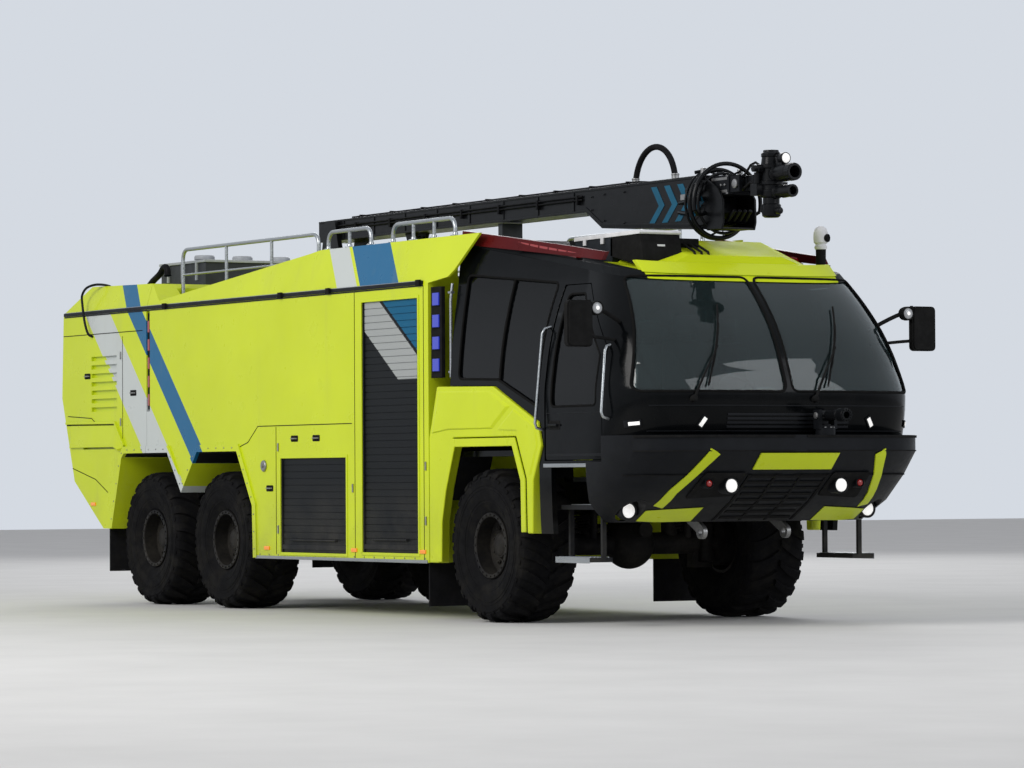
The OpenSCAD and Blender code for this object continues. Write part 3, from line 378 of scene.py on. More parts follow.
def spread(low, high, count):
    return [low + (high - low) * k / (count - 1) for k in range(count)]


def sided(point, s):
    """A point of the left side, or its place on the side with the sign s."""
    return (point[0], s * point[1], point[2])


def around(count, first=0.0):
    """Sine and cosine of evenly spaced turns."""
    turns = (2 * math.pi * k / count + first for k in range(count))
    return [(math.sin(turn), math.cos(turn)) for turn in turns]


class Form:
    """Collects the points and faces of one piece, in the part's frame; its pair draws on both sides."""

    def __init__(self):
        self.points = []
        self.faces = []
        self.pair = Pair(self)

    def add(self, points, faces):
        start = len(self.points)
        self.points += [tuple(float(c) for c in p) for p in points]
        self.faces += [tuple(start + i for i in face) for face in faces]
        return self

    def rings(self, rings, loop=False):
        """A skin over rings of as many points each; open ends are capped."""
        count, size = len(rings), len(rings[0])
        faces = []
        for i in range(count if loop else count - 1):
            j = (i + 1) % count
            for m in range(size):
                n = (m + 1) % size
                faces.append((i * size + m, i * size + n, j * size + n, j * size + m))
        if not loop:
            faces += [tuple(range(size))[::-1], tuple((count - 1) * size + m for m in range(size))]
        return self.add([p for ring in rings for p in ring], faces)

    def box(self, low, high):
        return self.rings([[(low[0], low[1], z), (high[0], low[1], z), (high[0], high[1], z),
                            (low[0], high[1], z)]
                           for z in (low[2], high[2])])

    def slab(self, outline, low, high, axis="y"):
        """An outline in the plane across an axis, given thickness along it."""
        place = {"y": lambda p, t: (p[0], t, p[1]), "x": lambda p, t: (t, p[0], p[1]), "z": lambda p,
                 t: (*p, t)}[axis]
        return self.rings([[place(p, t) for p in outline] for t in (low, high)])

    def turned(self, profile, at, along, steps=24, closed=False):
        """A solid of revolution: (radius, distance) pairs about a line; a closed profile makes a ring."""
        at, along = Vector(at), Vector(along).normalized()
        first = along.orthogonal()
        first = (first - first.dot(along) * along).normalized()
        second = along.cross(first)
        rings = []
        for radius, distance in profile:
            middle = at + along * distance
            rings.append([middle] if radius < 1e-6 else [
                middle + radius * (cos * first + sin * second) for sin, cos in around(steps)])
        if closed:
            return self.rings(rings, True)
        starts = [sum(len(ring) for ring in rings[:i]) for i in range(len(rings))]
        faces = []
        for low, high, a, b in zip(rings, rings[1:], starts, starts[1:]):
            for k in range(steps):
                n = (k + 1) % steps
                if len(low) > 1 and len(high) > 1:
                    faces.append((a + k, a + n, b + n, b + k))
                elif len(low) > 1:
                    faces.append((a + k, a + n, b))
                elif len(high) > 1:
                    faces.append((a, b + n, b + k))
        if len(rings[0]) > 1:
            faces.append(tuple(range(steps))[::-1])
        if len(rings[-1]) > 1:
            faces.append(tuple(starts[-1] + k for k in range(steps)))
        return self.add([p for ring in rings for p in ring], faces)

    def rod(self, a, b, radius, steps=14, ease=0.0):
        a, b = Vector(a), Vector(b)
        long = (b - a).length
        profile = [(radius, 0), (radius, long)]
        if ease:
            profile = [(radius - ease, 0), (radius, ease), (radius, long - ease), (radius - ease, long)]
        return self.turned(profile, a, b - a, steps)

    def ball(self, at, radius, steps=14):
        turns = spread(0.0, math.pi, steps // 2 + 1)
        inside = [(radius * math.sin(turn), -radius * math.cos(turn)) for turn in turns[1:-1]]
        return self.turned([(0.0, -radius), *inside, (0.0, radius)], at, (0, 0, 1), steps)

    def ring(self, at, along, big, small, steps=32, sides=10):
        """A torus about a line."""
        at, along = Vector(at), Vector(along).normalized()
        first = along.orthogonal().normalized()
        second = along.cross(first)
        rings = []
        for sin, cos in around(steps):
            out = cos * first + sin * second
            rings.append([at + out * (big + small * c) + along * small * s for s, c in around(sides)])
        return self.rings(rings, True)

    def tube(self, path, radius, sides=10, closed=False):
        """A round bar along a path of points."""
        path = [Vector(p) for p in path]
        count = len(path)
        if closed:
            tangents = [(path[(i + 1) % count] - path[i - 1]).normalized() for i in range(count)]
        else:
            last = count - 1
            tangents = [(path[min(i + 1, last)] - path[max(i - 1, 0)]).normalized() for i in range(count)]
        across = tangents[0].orthogonal().normalized()
        rings = []
        for i, (place, way) in enumerate(zip(path, tangents)):
            across = (across - across.dot(way) * way).normalized()
            other = way.cross(across)
            wide = radius[i] if isinstance(radius, list) else radius
            rings.append([place + wide * (cos * across + sin * other) for sin, cos in around(sides)])
        return self.rings(rings, closed)

    def bar(self, path, wide, thick, normal):
        """A flat bar along a path: wide across, thick along the normal, which faces outward."""
        path = [Vector(p) for p in path]
        normal = Vector(normal).normalized()
        count = len(path)
        rings = []
        for i, place in enumerate(path):
            way = path[min(i + 1, count - 1)] - path[max(i - 1, 0)]
            before = (place - path[i - 1] if i else way).normalized()
            after = (path[i + 1] - place if i < count - 1 else way).normalized()
            mean = (before + after).normalized()
            stretch = 1.0 / max(0.5, mean.dot(after))
            out = mean.cross(normal).normalized() * wide / 2 * stretch
            rings.append([place - out, place + out, place + out + normal * thick,
                          place - out + normal * thick])
        return self.rings(rings)

    def side_bar(self, path, wide, thick, y=BODY_Y):
        """A flat strip on both flanks along points given as (x, z)."""
        one = Form().bar([(x, -y, z) for x, z in path], wide, thick, (0, -1, 0))
        return self.merge(one).merge(one, Matrix.Diagonal((1, -1, 1, 1)))

    def merge(self, other, matrix=None):
        points = other.points if matrix is None else [matrix @ Vector(p) for p in other.points]
        return self.add(points, other.faces)

    def sheet(self, rows, cols, place, out, back=-0.004):
        """A closed sheet between two grids of points, place(row, col, out) and place(row, col, back)."""
        grids = [[[place(row, col, off) for col in cols] for row in rows] for off in (out, back)]
        return self.panel(*grids)

    def panel(self, outer, inner):
        """A closed sheet between two grids of points, row by row."""
        rows, cols = len(outer), len(outer[0])
        size = rows * cols
        faces = []
        for a in (i * cols + j for i in range(rows - 1) for j in range(cols - 1)):
            quad = (a, a + 1, a + cols + 1, a + cols)
            faces += [quad, tuple(size + i for i in quad[::-1])]
        edge = [*range(cols), *(i * cols + cols - 1 for i in range(1, rows))]
        edge += [*range(size - 2, size - cols - 1, -1), *(i * cols for i in range(rows - 2, 0, -1))]
        faces += [(b, a, size + a, size + b) for a, b in zip(edge, edge[1:] + edge[:1])]
        return self.add([p for row in outer + inner for p in row], faces)

    def mesh(self, name, bevel=0.0, steps=2, sharp=35.0):
        data = bpy.data.meshes.new(name)
        data.from_pydata(self.points, [], self.faces)
        tidy(data, bevel, steps, sharp)
        return data


class Pair:
    """Draws on both sides of a form what is given for the left one."""

    def __init__(self, form):
        self.form = form

    def box(self, low, high):
        self.slab([(low[0], low[2]), (high[0], low[2]), (high[0], high[2]), (low[0], high[2])], low[1],
                  high[1])

    def slab(self, outline, low, high):
        for s in BOTH:
            self.form.slab(outline, s * low, s * high)

    def turned(self, profile, at, along, *rest):
        for s in BOTH:
            self.form.turned(profile, sided(at, s), sided(along, s), *rest)

    def tube(self, path, *rest):
        for s in BOTH:
            self.form.tube([sided(p, s) for p in path], *rest)

    def rod(self, a, b, *rest, **more):
        for s in BOTH:
            self.form.rod(sided(a, s), sided(b, s), *rest, **more)

    def ring(self, at, *rest):
        for s in BOTH:
            self.form.ring(sided(at, s), *rest)


def tidy(data, bevel=0.0, steps=2, sharp=35.0, bevel_from=25.0, weld=False):
    """Eased edges where asked, faces turned outward, smooth shading apart from sharp edges."""
    made = bmesh.new()
    made.from_mesh(data)
    if weld:
        bmesh.ops.remove_doubles(made, verts=made.verts, dist=1e-5)
    bmesh.ops.recalc_face_normals(made, faces=made.faces)
    if bevel:
        limit = math.radians(bevel_from)
        edges = [e for e in made.edges if len(e.link_faces) == 2 and e.calc_face_angle(0.0) > limit]
        bmesh.ops.bevel(made, geom=edges, offset=bevel, segments=steps, profile=0.5, affect="EDGES",
                        clamp_overlap=True)
    limit = math.radians(sharp)
    for face in made.faces:
        face.smooth = True
    for e in made.edges:
        e.smooth = len(e.link_faces) == 2 and e.calc_face_angle(0.0) <= limit
    made.to_mesh(data)
    made.free()


def show(data, name, look, body="root", slot=None, node=None, weighted=True):
    """Places a finished mesh as a piece: its material, the body it rides on and the node it replaces."""
    made = bpy.data.objects.new(name, data)
    scene.collection.objects.link(made)
    data.materials.append(MATS[look])
    if weighted:
        made.modifiers.new("weight", "WEIGHTED_NORMAL").keep_sharp = True
    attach(made, body)
    slot or SLOT_OF[look]
    if node:
        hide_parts(node)
    return made


def piece(form, name, look, body="root", slot=None, node=None, **finish):
    return show(form.mesh(name, **finish), name, look, body, slot, node)


# Curved cab body


CAB_REAR = 2.47
# Height, nose X, side X, half width at the side, half width at the rear
CAB_ROWS = [
    (0.80, 4.90, 4.30, 1.48, 1.50), (1.00, 5.08, 4.40, 1.49, 1.50), (1.40, 5.62, 4.70, 1.50, 1.50),
    (1.98, 5.76, 4.80, 1.50, 1.50), (2.24, 5.68, 4.72, 1.47, 1.49), (2.50, 5.56, 4.60, 1.42, 1.47),
    (2.78, 5.35, 4.53, 1.33, 1.44), (3.05, 5.08, 4.45, 1.22, 1.405), (3.50, 4.60, 4.00, 1.08, 1.365),
]


def smooth_rows(rows, steps):
    """Rows between the given ones, on a smooth curve through them that never overshoots."""
    rows = np.array(rows, float)
    z = rows[:, 0]
    chords = (rows[1:] - rows[:-1]) / (z[1:] - z[:-1])[:, None]
    slope = np.zeros_like(rows)
    slope[0], slope[-1] = chords[0], chords[-1]
    for i, (a, b) in enumerate(zip(chords, chords[1:]), 1):
        same = a * b > 0
        slope[i] = np.where(same, 2 * a * b / np.where(same, a + b, 1.0), 0.0)
    out = []
    for i in range(len(rows) - 1):
        gap = z[i + 1] - z[i]
        for t in (k / steps for k in range(steps)):
            out.append((2 * t**3 - 3 * t**2 + 1) * rows[i] + (t**3 - 2 * t**2 + t) * gap * slope[i]
                       + (3 * t**2 - 2 * t**3) * rows[i + 1] + (t**3 - t**2) * gap * slope[i + 1])
    return np.array([*out, rows[-1]])


CAB_FINE = smooth_rows(CAB_ROWS, 5)


def row_at(table, z):
    return [float(np.interp(z, table[:, 0], column)) for column in table.T[1:]]


def nose_x(row, y, out):
    """X of a rounded nose at a distance from the middle."""
    nose, side_x, half = row[:3]
    share = min(abs(y) / (half + out), 1.0)
    return side_x + (nose + out - side_x) * (1 - share**4) ** 0.25


def cab_front(z, y, out=0.0):
    """X of the cab's front face at a height and a distance from the middle."""
    return nose_x(row_at(CAB_FINE, z), y, out)


def cab_side(z, x):
    """Distance of the cab's side from the middle at a height and an X."""
    nose, side_x, half, rear_half = row_at(CAB_FINE, z)
    if x > side_x:
        share = min((x - side_x) / (nose - side_x), 1.0)
        return half * (1 - share**4) ** 0.25
    return rear_half + (half - rear_half) * (x - CAB_REAR) / (side_x - CAB_REAR)


def on_front(z, y, out):
    return (cab_front(z, y, out), y, z)


def on_side(s):
    """Places a point of the cab's side from its height, X and distance from the face."""
    return lambda z, x, out: (x, s * (cab_side(z, x) + out), z)


def level_ring(z, nose, side_x, half, rear_x, rear_half, steps):
    """A level outline of a rounded nose with a straight rear edge."""
    ring = [(rear_x, -rear_half, z)]
    for turn in spread(-math.pi / 2, math.pi / 2, steps + 1):
        c, s = math.cos(turn), math.sin(turn)
        size = (c**4 + s**4) ** 0.25
        ring.append((side_x + (nose - side_x) * c / size, half * s / size, z))
    return [*ring, (rear_x, rear_half, z)]


def cab_solid(inset=0.0):
    return as_mesh(Form().rings([
        level_ring(z, nose - inset, side_x, half - inset, CAB_REAR + inset, rear_half - inset, 48)
        for z, nose, side_x, half, rear_half in CAB_FINE]))


def as_mesh(form):
    data = bpy.data.meshes.new("shape")
    data.from_pydata(form.points, [], form.faces)
    made = bmesh.new()
    made.from_mesh(data)
    bmesh.ops.recalc_face_normals(made, faces=made.faces)
    bmesh.ops.triangulate(made, faces=[f for f in made.faces if len(f.verts) > 4])
    made.to_mesh(data)
    made.free()
    return data


def carve(solid, cuts, inside=None):
    """The part of the solid within one mesh, less the cuts."""
    base = bpy.data.objects.new("base", solid)
    scene.collection.objects.link(base)
    helpers = []
    for mode, other in [("INTERSECT", inside)] * bool(inside) + [("DIFFERENCE", cut) for cut in cuts]:
        helper = bpy.data.objects.new("helper", other)
        scene.collection.objects.link(helper)
        helpers.append(helper)
        change = base.modifiers.new("carve", "BOOLEAN")
        change.operation = mode
        change.solver = "MANIFOLD"
        change.object = helper
    bpy.context.view_layer.update()
    graph = bpy.context.evaluated_depsgraph_get()
    result = bpy.data.meshes.new_from_object(base.evaluated_get(graph))
    for thing in [base, *helpers]:
        bpy.data.objects.remove(thing)
    result.materials.clear()
    return result


def slab_mesh(outline, low, high, axis="y"):
    return as_mesh(Form().slab(outline, low, high, axis))


def wide_box(x0, z0, x1, z1, y0=-1.6, y1=1.6):
    return as_mesh(Form().box((x0, y0, z0), (x1, y1, z1)))


DOOR_GAP, DOOR_REAR_GAP = 0.008, 0.024
DOOR = [(4.19, 1.44), (5.12, 1.44), (5.12, 2.38), (4.56, 2.96), (4.19, 2.96)]
DOOR_HOLE = [
    (4.19 - DOOR_REAR_GAP, 1.44 - DOOR_GAP), (5.12 + DOOR_GAP, 1.44 - DOOR_GAP), (5.12 + DOOR_GAP, 2.385),
    (4.565, 2.96 + DOOR_GAP), (4.19 - DOOR_REAR_GAP, 2.96 + DOOR_GAP),
]
FENDER_CUT = [(2.11, 0.4), (2.11, 1.66), (2.255, 2.126), (3.292, 2.106), (4.085, 1.775), (4.146, 1.56),
              (4.006, 1.265), (4.006, 0.4)]


def rounded(outline, radius, steps=5):
    """An outline with its corners rounded."""
    out = []
    count = len(outline)
    for i in range(count):
        p = Vector((*outline[i], 0))
        a = Vector((*outline[i - 1], 0)) - p
        b = Vector((*outline[(i + 1) % count], 0)) - p
        half = a.angle(b) / 2
        reach = min(radius / max(math.tan(half), 0.05), a.length * 0.45, b.length * 0.45)
        start, end = p + a.normalized() * reach, p + b.normalized() * reach
        for t in (k / steps for k in range(steps + 1)):
            q = (1 - t) ** 2 * start + 2 * t * (1 - t) * p + t * t * end
            out.append((q.x, q.y))
    return out


def plate(low, high, corner):
    """A rectangle with rounded corners between two opposite ones."""
    return rounded([low, (high[0], low[1]), high, (low[0], high[1])], corner)


DOOR_WINDOW = rounded([(4.28, 1.90), (5.03, 1.90), (5.03, 2.33), (4.525, 2.88), (4.28, 2.88)], 0.05)
SIDE_WINDOW = rounded([(2.62, 2.18), (3.33, 2.16), (4.06, 1.90), (4.06, 2.99), (2.62, 3.12)], 0.06)
SCREEN = rounded([(0.030, 2.01), (1.415, 2.01), (1.150, 3.012), (0.030, 3.012)], 0.07)


def roof_height(x):
    return 3.46 - 0.158 * (x - CAB_REAR)


def roof_slab(low):
    corners = ((2.42, low), (6.2, low), (6.2, 0.8), (2.42, 0.8))
    return slab_mesh([(x, roof_height(x) + rise) for x, rise in corners], -1.6, 1.6)


def flank_mesh(outline, s, low=1.1):
    return slab_mesh(outline, s * low, s * 1.6)


def screen_hole(s):
    return slab_mesh([(y * s, z) for y, z in SCREEN], 4.7, 6.4, "x")


cab_cuts = [
    carve(cab_solid(0.05), [], wide_box(2.0, 1.53, 6.2, 3.7)),
    wide_box(2.0, 0.0, 4.075, 1.48),
    wide_box(3.9, 0.0, 6.2, 1.30, -1.40, 1.40),
    carve(cab_solid(0.05), [], wide_box(2.0, 0.0, 6.2, 1.48)),
    roof_slab(-0.06),
]
for s in BOTH:
    cab_cuts += [flank_mesh(FENDER_CUT, s, 1.394), flank_mesh(DOOR_HOLE, s), flank_mesh(SIDE_WINDOW, s),
                 wide_box(4.28, 0.0, 4.89, 1.38, *sorted((1.1 * s, 1.6 * s))), screen_hole(s)]
shell = carve(cab_solid(), cab_cuts)
tidy(shell, sharp=28.0, weld=True)
show(shell, "cab_shell_skin", "cab", node="cab_shell")


def glass_skin(name, openings, body, node, look="side_glass"):
    """Panes a little inside the cab's face, one in each opening."""
    pane = carve(cab_solid(0.016), [cab_solid(0.016 + 0.010)])
    whole = bmesh.new()
    for opening in openings:
        whole.from_mesh(carve(pane.copy(), [roof_slab(-0.062)], opening))
    data = bpy.data.meshes.new(name)
    whole.to_mesh(data)
    whole.free()
    tidy(data, sharp=30.0, weld=True)
    show(data, name, look, body, node=node)


glass_skin("windscreen_panes", [screen_hole(s) for s in BOTH], "root", "windscreen", "glass")
glass_skin("side_window_panes", [flank_mesh(SIDE_WINDOW, s) for s in BOTH], "root", "side_glass")
for side, s in SIDES.items():
    body = f"door_{side}"
    glass_skin(f"door_pane_{side}", [flank_mesh(DOOR_WINDOW, s)], body, f"door_glass_{side}")
    leaf = carve(carve(cab_solid(), [cab_solid(0.05)]), [flank_mesh(DOOR_WINDOW, s)],
                 flank_mesh(rounded(DOOR, 0.03), s))
    tidy(leaf, 0.004, 2, 28.0, 50.0, weld=True)
    show(leaf, f"door_leaf_{side}", "cab", body, node=body)


# Wheels


def wheel_point(radius, turn, y):
    return (radius * math.sin(turn), y, radius * math.cos(turn))


LUG_PAIRS = 22
# Each row of a tread lug: distance from the middle, top and base radius, sink of the base, swing, half width
LUG_ROWS = [
    (0.010, 0.686, 0.650, 0.0, 0.0, 0.038), (0.075, 0.686, 0.650, 0.0, 0.070, 0.044),
    (0.145, 0.685, 0.648, 0.0, 0.130, 0.050), (0.205, 0.681, 0.642, 0.004, 0.168, 0.056),
    (0.246, 0.673, 0.632, 0.012, 0.186, 0.062), (0.272, 0.655, 0.612, 0.020, 0.192, 0.062),
    (0.289, 0.618, 0.585, 0.022, 0.194, 0.056),
]


def tyre_form():
    """A tyre about the Y axis, its outer side towards +Y."""
    form = Form()
    half = [
        (0.655, 0.0), (0.655, 0.12), (0.652, 0.20), (0.645, 0.245), (0.628, 0.268), (0.600, 0.283),
        (0.592, 0.290),
        (0.580, 0.2905), (0.570, 0.287), (0.520, 0.2885), (0.470, 0.286), (0.430, 0.281), (0.400, 0.272),
        (0.385, 0.270), (0.378, 0.263), (0.345, 0.250), (0.315, 0.236), (0.298, 0.222), (0.284, 0.216),
    ]
    profile = half + [(0.281, 0.17), (0.281, -0.17)] + [(r, -y) for r, y in half[:0:-1]]
    form.rings([[(r * sin, y, r * cos) for r, y in profile] for sin, cos in around(96)], True)
    pitch = 2 * math.pi / LUG_PAIRS
    for side in BOTH:
        for k in range(LUG_PAIRS):
            middle = pitch * (k + (0.5 if side > 0 else 0.0))
            form.rings([[wheel_point(base, middle + swing - wide - 0.010, side * (across - sink)),
                         wheel_point(top, middle + swing - wide, side * across),
                         wheel_point(top, middle + swing + wide, side * across),
                         wheel_point(base, middle + swing + wide + 0.010, side * (across - sink))]
                        for across, top, base, sink, swing, wide in LUG_ROWS])
            # Small block between the shoulder lugs
            turn = middle + 0.194 + pitch / 2
            form.rings([[wheel_point(radius, a, side * y) for radius, y in
                         ((0.585, 0.270), (0.618, 0.262), (0.616, 0.287), (0.588, 0.2935))]
                        for a in (turn - 0.03, turn + 0.03)])
        # Ribs round the sidewall
        for radius, y in ((0.535, 0.2885), (0.505, 0.2885), (0.410, 0.275)):
            form.ring((0, side * y, 0), (0, 1, 0), radius, 0.0035, 72, 6)
    return form


def hub_form():
    """Nuts, hub cover and fittings on the rim's outer face, outer side towards +Y."""
    form = Form()

    def turn_all(places, profiles):
        for sin, cos in places[1]:
            for profile, steps in profiles:
                form.turned(profile, (places[0] * sin, 0, places[0] * cos), (0, 1, 0), steps)

    cover = [(0.112, 0.068), (0.112, 0.118), (0.098, 0.132), (0.098, 0.150), (0.088, 0.160), (0.050, 0.166),
             (0.0, 0.168)]
    turn_all((0.0, [(0, 1)]), [(cover, 36), ([(0.150, 0.069), (0.150, 0.078), (0.128, 0.084), (0.0, 0.084)],
                                             36)])
    nut = [(0.025, 0.070), (0.025, 0.075), (0.019, 0.077), (0.019, 0.098), (0.015, 0.102), (0.0, 0.102)]
    turn_all((0.185, around(10)), [(nut, 6), ([(0.010, 0.100), (0.010, 0.114), (0.0, 0.116)], 10)])
    turn_all((0.086, around(12, math.pi / 12)), [([(0.0075, 0.148), (0.0075, 0.1565), (0.0, 0.158)], 6)])
    # Clamping ring of the two-part rim
    form.turned([(0.292, 0.236), (0.295, 0.240), (0.290, 0.246), (0.262, 0.246), (0.256, 0.240),
                 (0.262, 0.236)], (0, 0, 0), (0, 1, 0), 64, closed=True)
    turn_all((0.2755, around(24)), [([(0.0085, 0.244), (0.0085, 0.254), (0.0, 0.255)], 6)])
    # Valve
    return form.tube([(0.0, 0.072, 0.232), (0.0, 0.105, 0.236), (0.0, 0.150, 0.226)], 0.005, 8)


tyre_shape = tyre_form()
hub_shape = hub_form()
for axle, axle_x in AXLES.items():
    for side, s in SIDES.items():
        place = Matrix.Translation((axle_x, s * WHEEL_Y, WHEEL_R))
        if s < 0:
            place = place @ Matrix.Rotation(math.pi, 4, "Z")
        name = f"{axle}_{side}"
        piece(Form().merge(tyre_shape, place), f"tyre_tread_{name}", "tyre", f"wheel_{name}",
              node=f"tyre_{name}",
              sharp=28.0)
        piece(Form().merge(hub_shape, place), f"hub_fittings_{name}", "rim", f"wheel_{name}", sharp=40.0)


# Body panels, arches and shutters


REAR_ARCH = [(-4.86, 0.78), (-4.61, 1.52), (-4.55, 1.57), (-3.48, 1.57), (-3.145, 1.16), (-2.77, 1.57),
             (-1.86, 1.57),
             (-1.51, 1.03), (-1.49, 0.52)]


def liner(path, low_y, high_y, thick=0.012):
    """A thin sheet under an arch, on both sides."""
    form = Form()
    for s in BOTH:
        form.rings([[(x, s * low_y, z), (x, s * high_y, z), (x, s * high_y, z - thick),
                     (x, s * low_y, z - thick)]
                    for x, z in path])
    return form


piece(liner([(-4.875, 0.80), (-4.62, 1.53), (-4.55, 1.569), (-3.47, 1.569), (-3.145, 1.178), (-2.78, 1.569),
             (-1.85, 1.569), (-1.505, 1.04), (-1.50, 0.55)], 0.856, 1.505), "arch_liners_rear", "flap")

gutter = Form()
gutter.side_bar([(-6.10, 3.075), (2.02, 3.075)], 0.034, 0.016, BODY_Y - 0.002)
gutter.side_bar([(-6.10, 3.048), (2.02, 3.048)], 0.012, 0.009, BODY_Y - 0.002)
piece(gutter, "gutter_rails", "charcoal", bevel=0.003)
edge_light = Form()
edge_light.side_bar([(-6.09, 3.094), (2.01, 3.094)], 0.008, 0.014, BODY_Y - 0.006)
edge_light.side_bar([(-1.45, 0.528), (2.09, 0.528)], 0.030, 0.014, BODY_Y - 0.003)
piece(edge_light, "edge_trims", "rail", bevel=0.002)

seams = Form()
for path in (
    [(-1.86, 1.60), (-1.62, 1.655), (-1.40, 1.81), (0.60, 1.81)],
    [(0.66, 3.05), (0.66, 0.54)],
    [(2.02, 3.05), (2.02, 0.54)],
    [(-6.13, 2.845), (-4.10, 2.845)],
    [(-6.02, 1.98), (-5.40, 1.95), (-4.62, 1.60)],
    [(-5.90, 1.42), (-5.30, 1.30), (-4.98, 1.16)],
    [(-4.60, 2.80), (-4.60, 1.62)],
    [(-1.00, 1.80), (-1.00, 0.56)],
):
    seams.side_bar(path, 0.008, 0.0022)
piece(seams, "panel_seams", "seam")

SHUTTERS = ((-0.90, 0.48, 0.58, 1.49), (0.81, 1.91, 0.60, 2.94))
FRAME_WIDE = 0.028
frames = Form()
fittings = Form()
for x0, x1, z0, z1 in SHUTTERS:
    low_x, high_x = x0 - FRAME_WIDE / 2, x1 + FRAME_WIDE / 2
    low_z, high_z = z0 - FRAME_WIDE / 2, z1 + FRAME_WIDE / 2
    frames.side_bar([(low_x, low_z), (high_x, low_z), (high_x, high_z), (low_x, high_z), (low_x, low_z)],
                    FRAME_WIDE, 0.008, BODY_Y - 0.001)
    low, high = BODY_Y - 0.022, BODY_Y - 0.004
    fittings.pair.box((x0 + 0.02, low, z0 + 0.03), (x1 - 0.02, high, z0 + 0.075))
    fittings.pair.tube([(x, BODY_Y + out, z0 + 0.12) for x, out in (
        (x0 + 0.22, -0.015), (x0 + 0.22, 0.005), (x1 - 0.22, 0.005), (x1 - 0.22, -0.015))], 0.010, 8)
    for x in (x0 + 0.012, x1 - 0.012):
        fittings.pair.box((x - 0.012, low, z0), (x + 0.012, high, z1))
piece(frames, "shutter_frames", "yellow", bevel=0.002)
piece(fittings, "shutter_fittings", "charcoal", bevel=0.003)


# Bumper, its trims and lamps

# Height, nose X, side X and half width
BUMPER_ROWS = np.array([(0.90, 5.12, 4.42, 1.40), (1.08, 5.45, 4.52, 1.50), (1.30, 5.73, 4.66, 1.52),
                        (1.50, 5.93, 4.76, 1.525), (1.64, 5.93, 4.76, 1.525)])


def bumper_front(z, y, out=0.0):
    """X of the bumper's face at a height and a distance from the middle."""
    return nose_x(row_at(BUMPER_ROWS, z), y, out)


def on_bumper(z, y, out):
    return (bumper_front(z, y, out), y, z)


def bumper_solid(inset=0.0):
    return as_mesh(Form().rings([level_ring(z, nose - inset, side_x, half - inset, 4.33, half - inset, 56)
                                 for z, nose, side_x, half in BUMPER_ROWS]))


bumper_cuts = [cab_solid(-0.006), bumper_solid(0.11), wide_box(4.2, 0.0, 4.90, 1.7),
               wide_box(4.2, 1.42, 5.15, 1.7)]
for s in BOTH:
    bumper_cuts.append(as_mesh(Form().rod((4.7, s * 1.23, 1.0), (5.6, s * 1.23, 1.0), 0.088, steps=40)))
shell = carve(bumper_solid(), bumper_cuts)
tidy(shell, 0.006, 2, 30.0, 24.0, weld=True)
show(shell, "bumper_shell", "charcoal", node="bumper")

arms = Form()
arms.pair.slab([(4.76, 1.05), (5.39, 1.05), (5.60, 1.23), (5.60, 1.25), (4.76, 1.25)], 0.38, 0.48)
piece(arms, "bumper_arms", "frame", bevel=0.004)


def along_path(path, counts):
    """Points and shares along a path, its legs cut into the given counts."""
    for i, parts in enumerate(counts):
        for t in (k / parts for k in range(parts)):
            yield i, t, tuple(a + (b - a) * t for a, b in zip(path[i], path[i + 1]))


def face_band(form, path, widths, out=0.014, rows=3):
    """A raised band that follows the bumper's face along (y, z) points, on both sides."""
    counts = [max(2, int(math.dist(a, b) / 0.05)) for a, b in zip(path, path[1:])]
    points, wide = [], []
    for i, t, point in along_path(path, counts):
        points.append(point)
        wide.append(widths[i] + (widths[i + 1] - widths[i]) * t)
    points.append(path[-1])
    wide.append(widths[-1])

    def place(r, i, off):
        a, b = points[max(i - 1, 0)], points[min(i + 1, len(points) - 1)]
        shift = wide[i] * (r / (rows - 1) - 0.5) / math.dist(a, b)
        y, z = points[i][0] - (b[1] - a[1]) * shift, points[i][1] + (b[0] - a[0]) * shift
        return on_bumper(z, y, off)

    for s in BOTH:
        form.sheet(range(rows), range(len(points)), lambda *at: sided(place(*at), s), out)


def face_patch(form, low, high, out, cols=12, rows=4):
    """A raised patch of the bumper's face between two (y, z) corners."""
    form.sheet(spread(low[1], high[1], rows), spread(low[0], high[0], cols), on_bumper, out)


chin = Form()
face_band(chin, [(0.84, 1.50), (0.93, 1.33), (1.02, 1.16), (1.05, 1.03)], [0.11, 0.085, 0.085, 0.10])
face_band(chin, [(1.12, 0.955), (0.95, 0.955), (0.62, 0.965)], [0.09, 0.11, 0.12])
face_patch(chin, (-0.40, 1.345), (0.40, 1.485), 0.016)
piece(chin, "chin_panels", "yellow", bevel=0.004, sharp=40)

grille = Form()
for z in (0.925, 0.975, 1.025, 1.075, 1.125, 1.175, 1.225, 1.275):
    half = 0.36 if z < 1.15 else 0.40
    face_patch(grille, (-half, z), (half, z + 0.020), 0.012, rows=2)
for y in (-0.40, -0.13, 0.13, 0.40):
    face_patch(grille, (y - 0.012, 0.91), (y + 0.012, 1.30), 0.016, cols=2, rows=9)
piece(grille, "bumper_grille", "seam", bevel=0.002)

# Dark pods round the inner lamps
POD = rounded([(0.44, 1.12), (0.88, 1.10), (0.84, 1.32), (0.44, 1.32)], 0.03)
pods = Form()
for s in BOTH:
    pods.rings([[sided(on_bumper(z, y, out), s) for y, z in POD] for out in (-0.004, 0.020)])
piece(pods, "lamp_pods", "seam", bevel=0.004)

# Crease trims along the wings and the top edge
wing = Form()
for z, out, tall in ((1.30, 0.006, 0.010), (1.505, 0.006, 0.010), (1.628, 0.010, 0.020)):
    for s in BOTH:
        across = [s * 1.46 * math.sin(turn) ** 0.8 for turn in spread(0.02, 1.40, 40)]
        wing.sheet((z - tall / 2, z + tall / 2), across, on_bumper, out)
piece(wing, "bumper_creases", "seam")


def lamp_glass(form, at, radius, depth=0.018):
    form.pair.turned([(radius, 0), (radius, depth * 0.5), (radius * 0.8, depth * 0.85), (radius * 0.4, depth),
                      (0, depth * 1.05)], at, (1, 0, 0), 32)


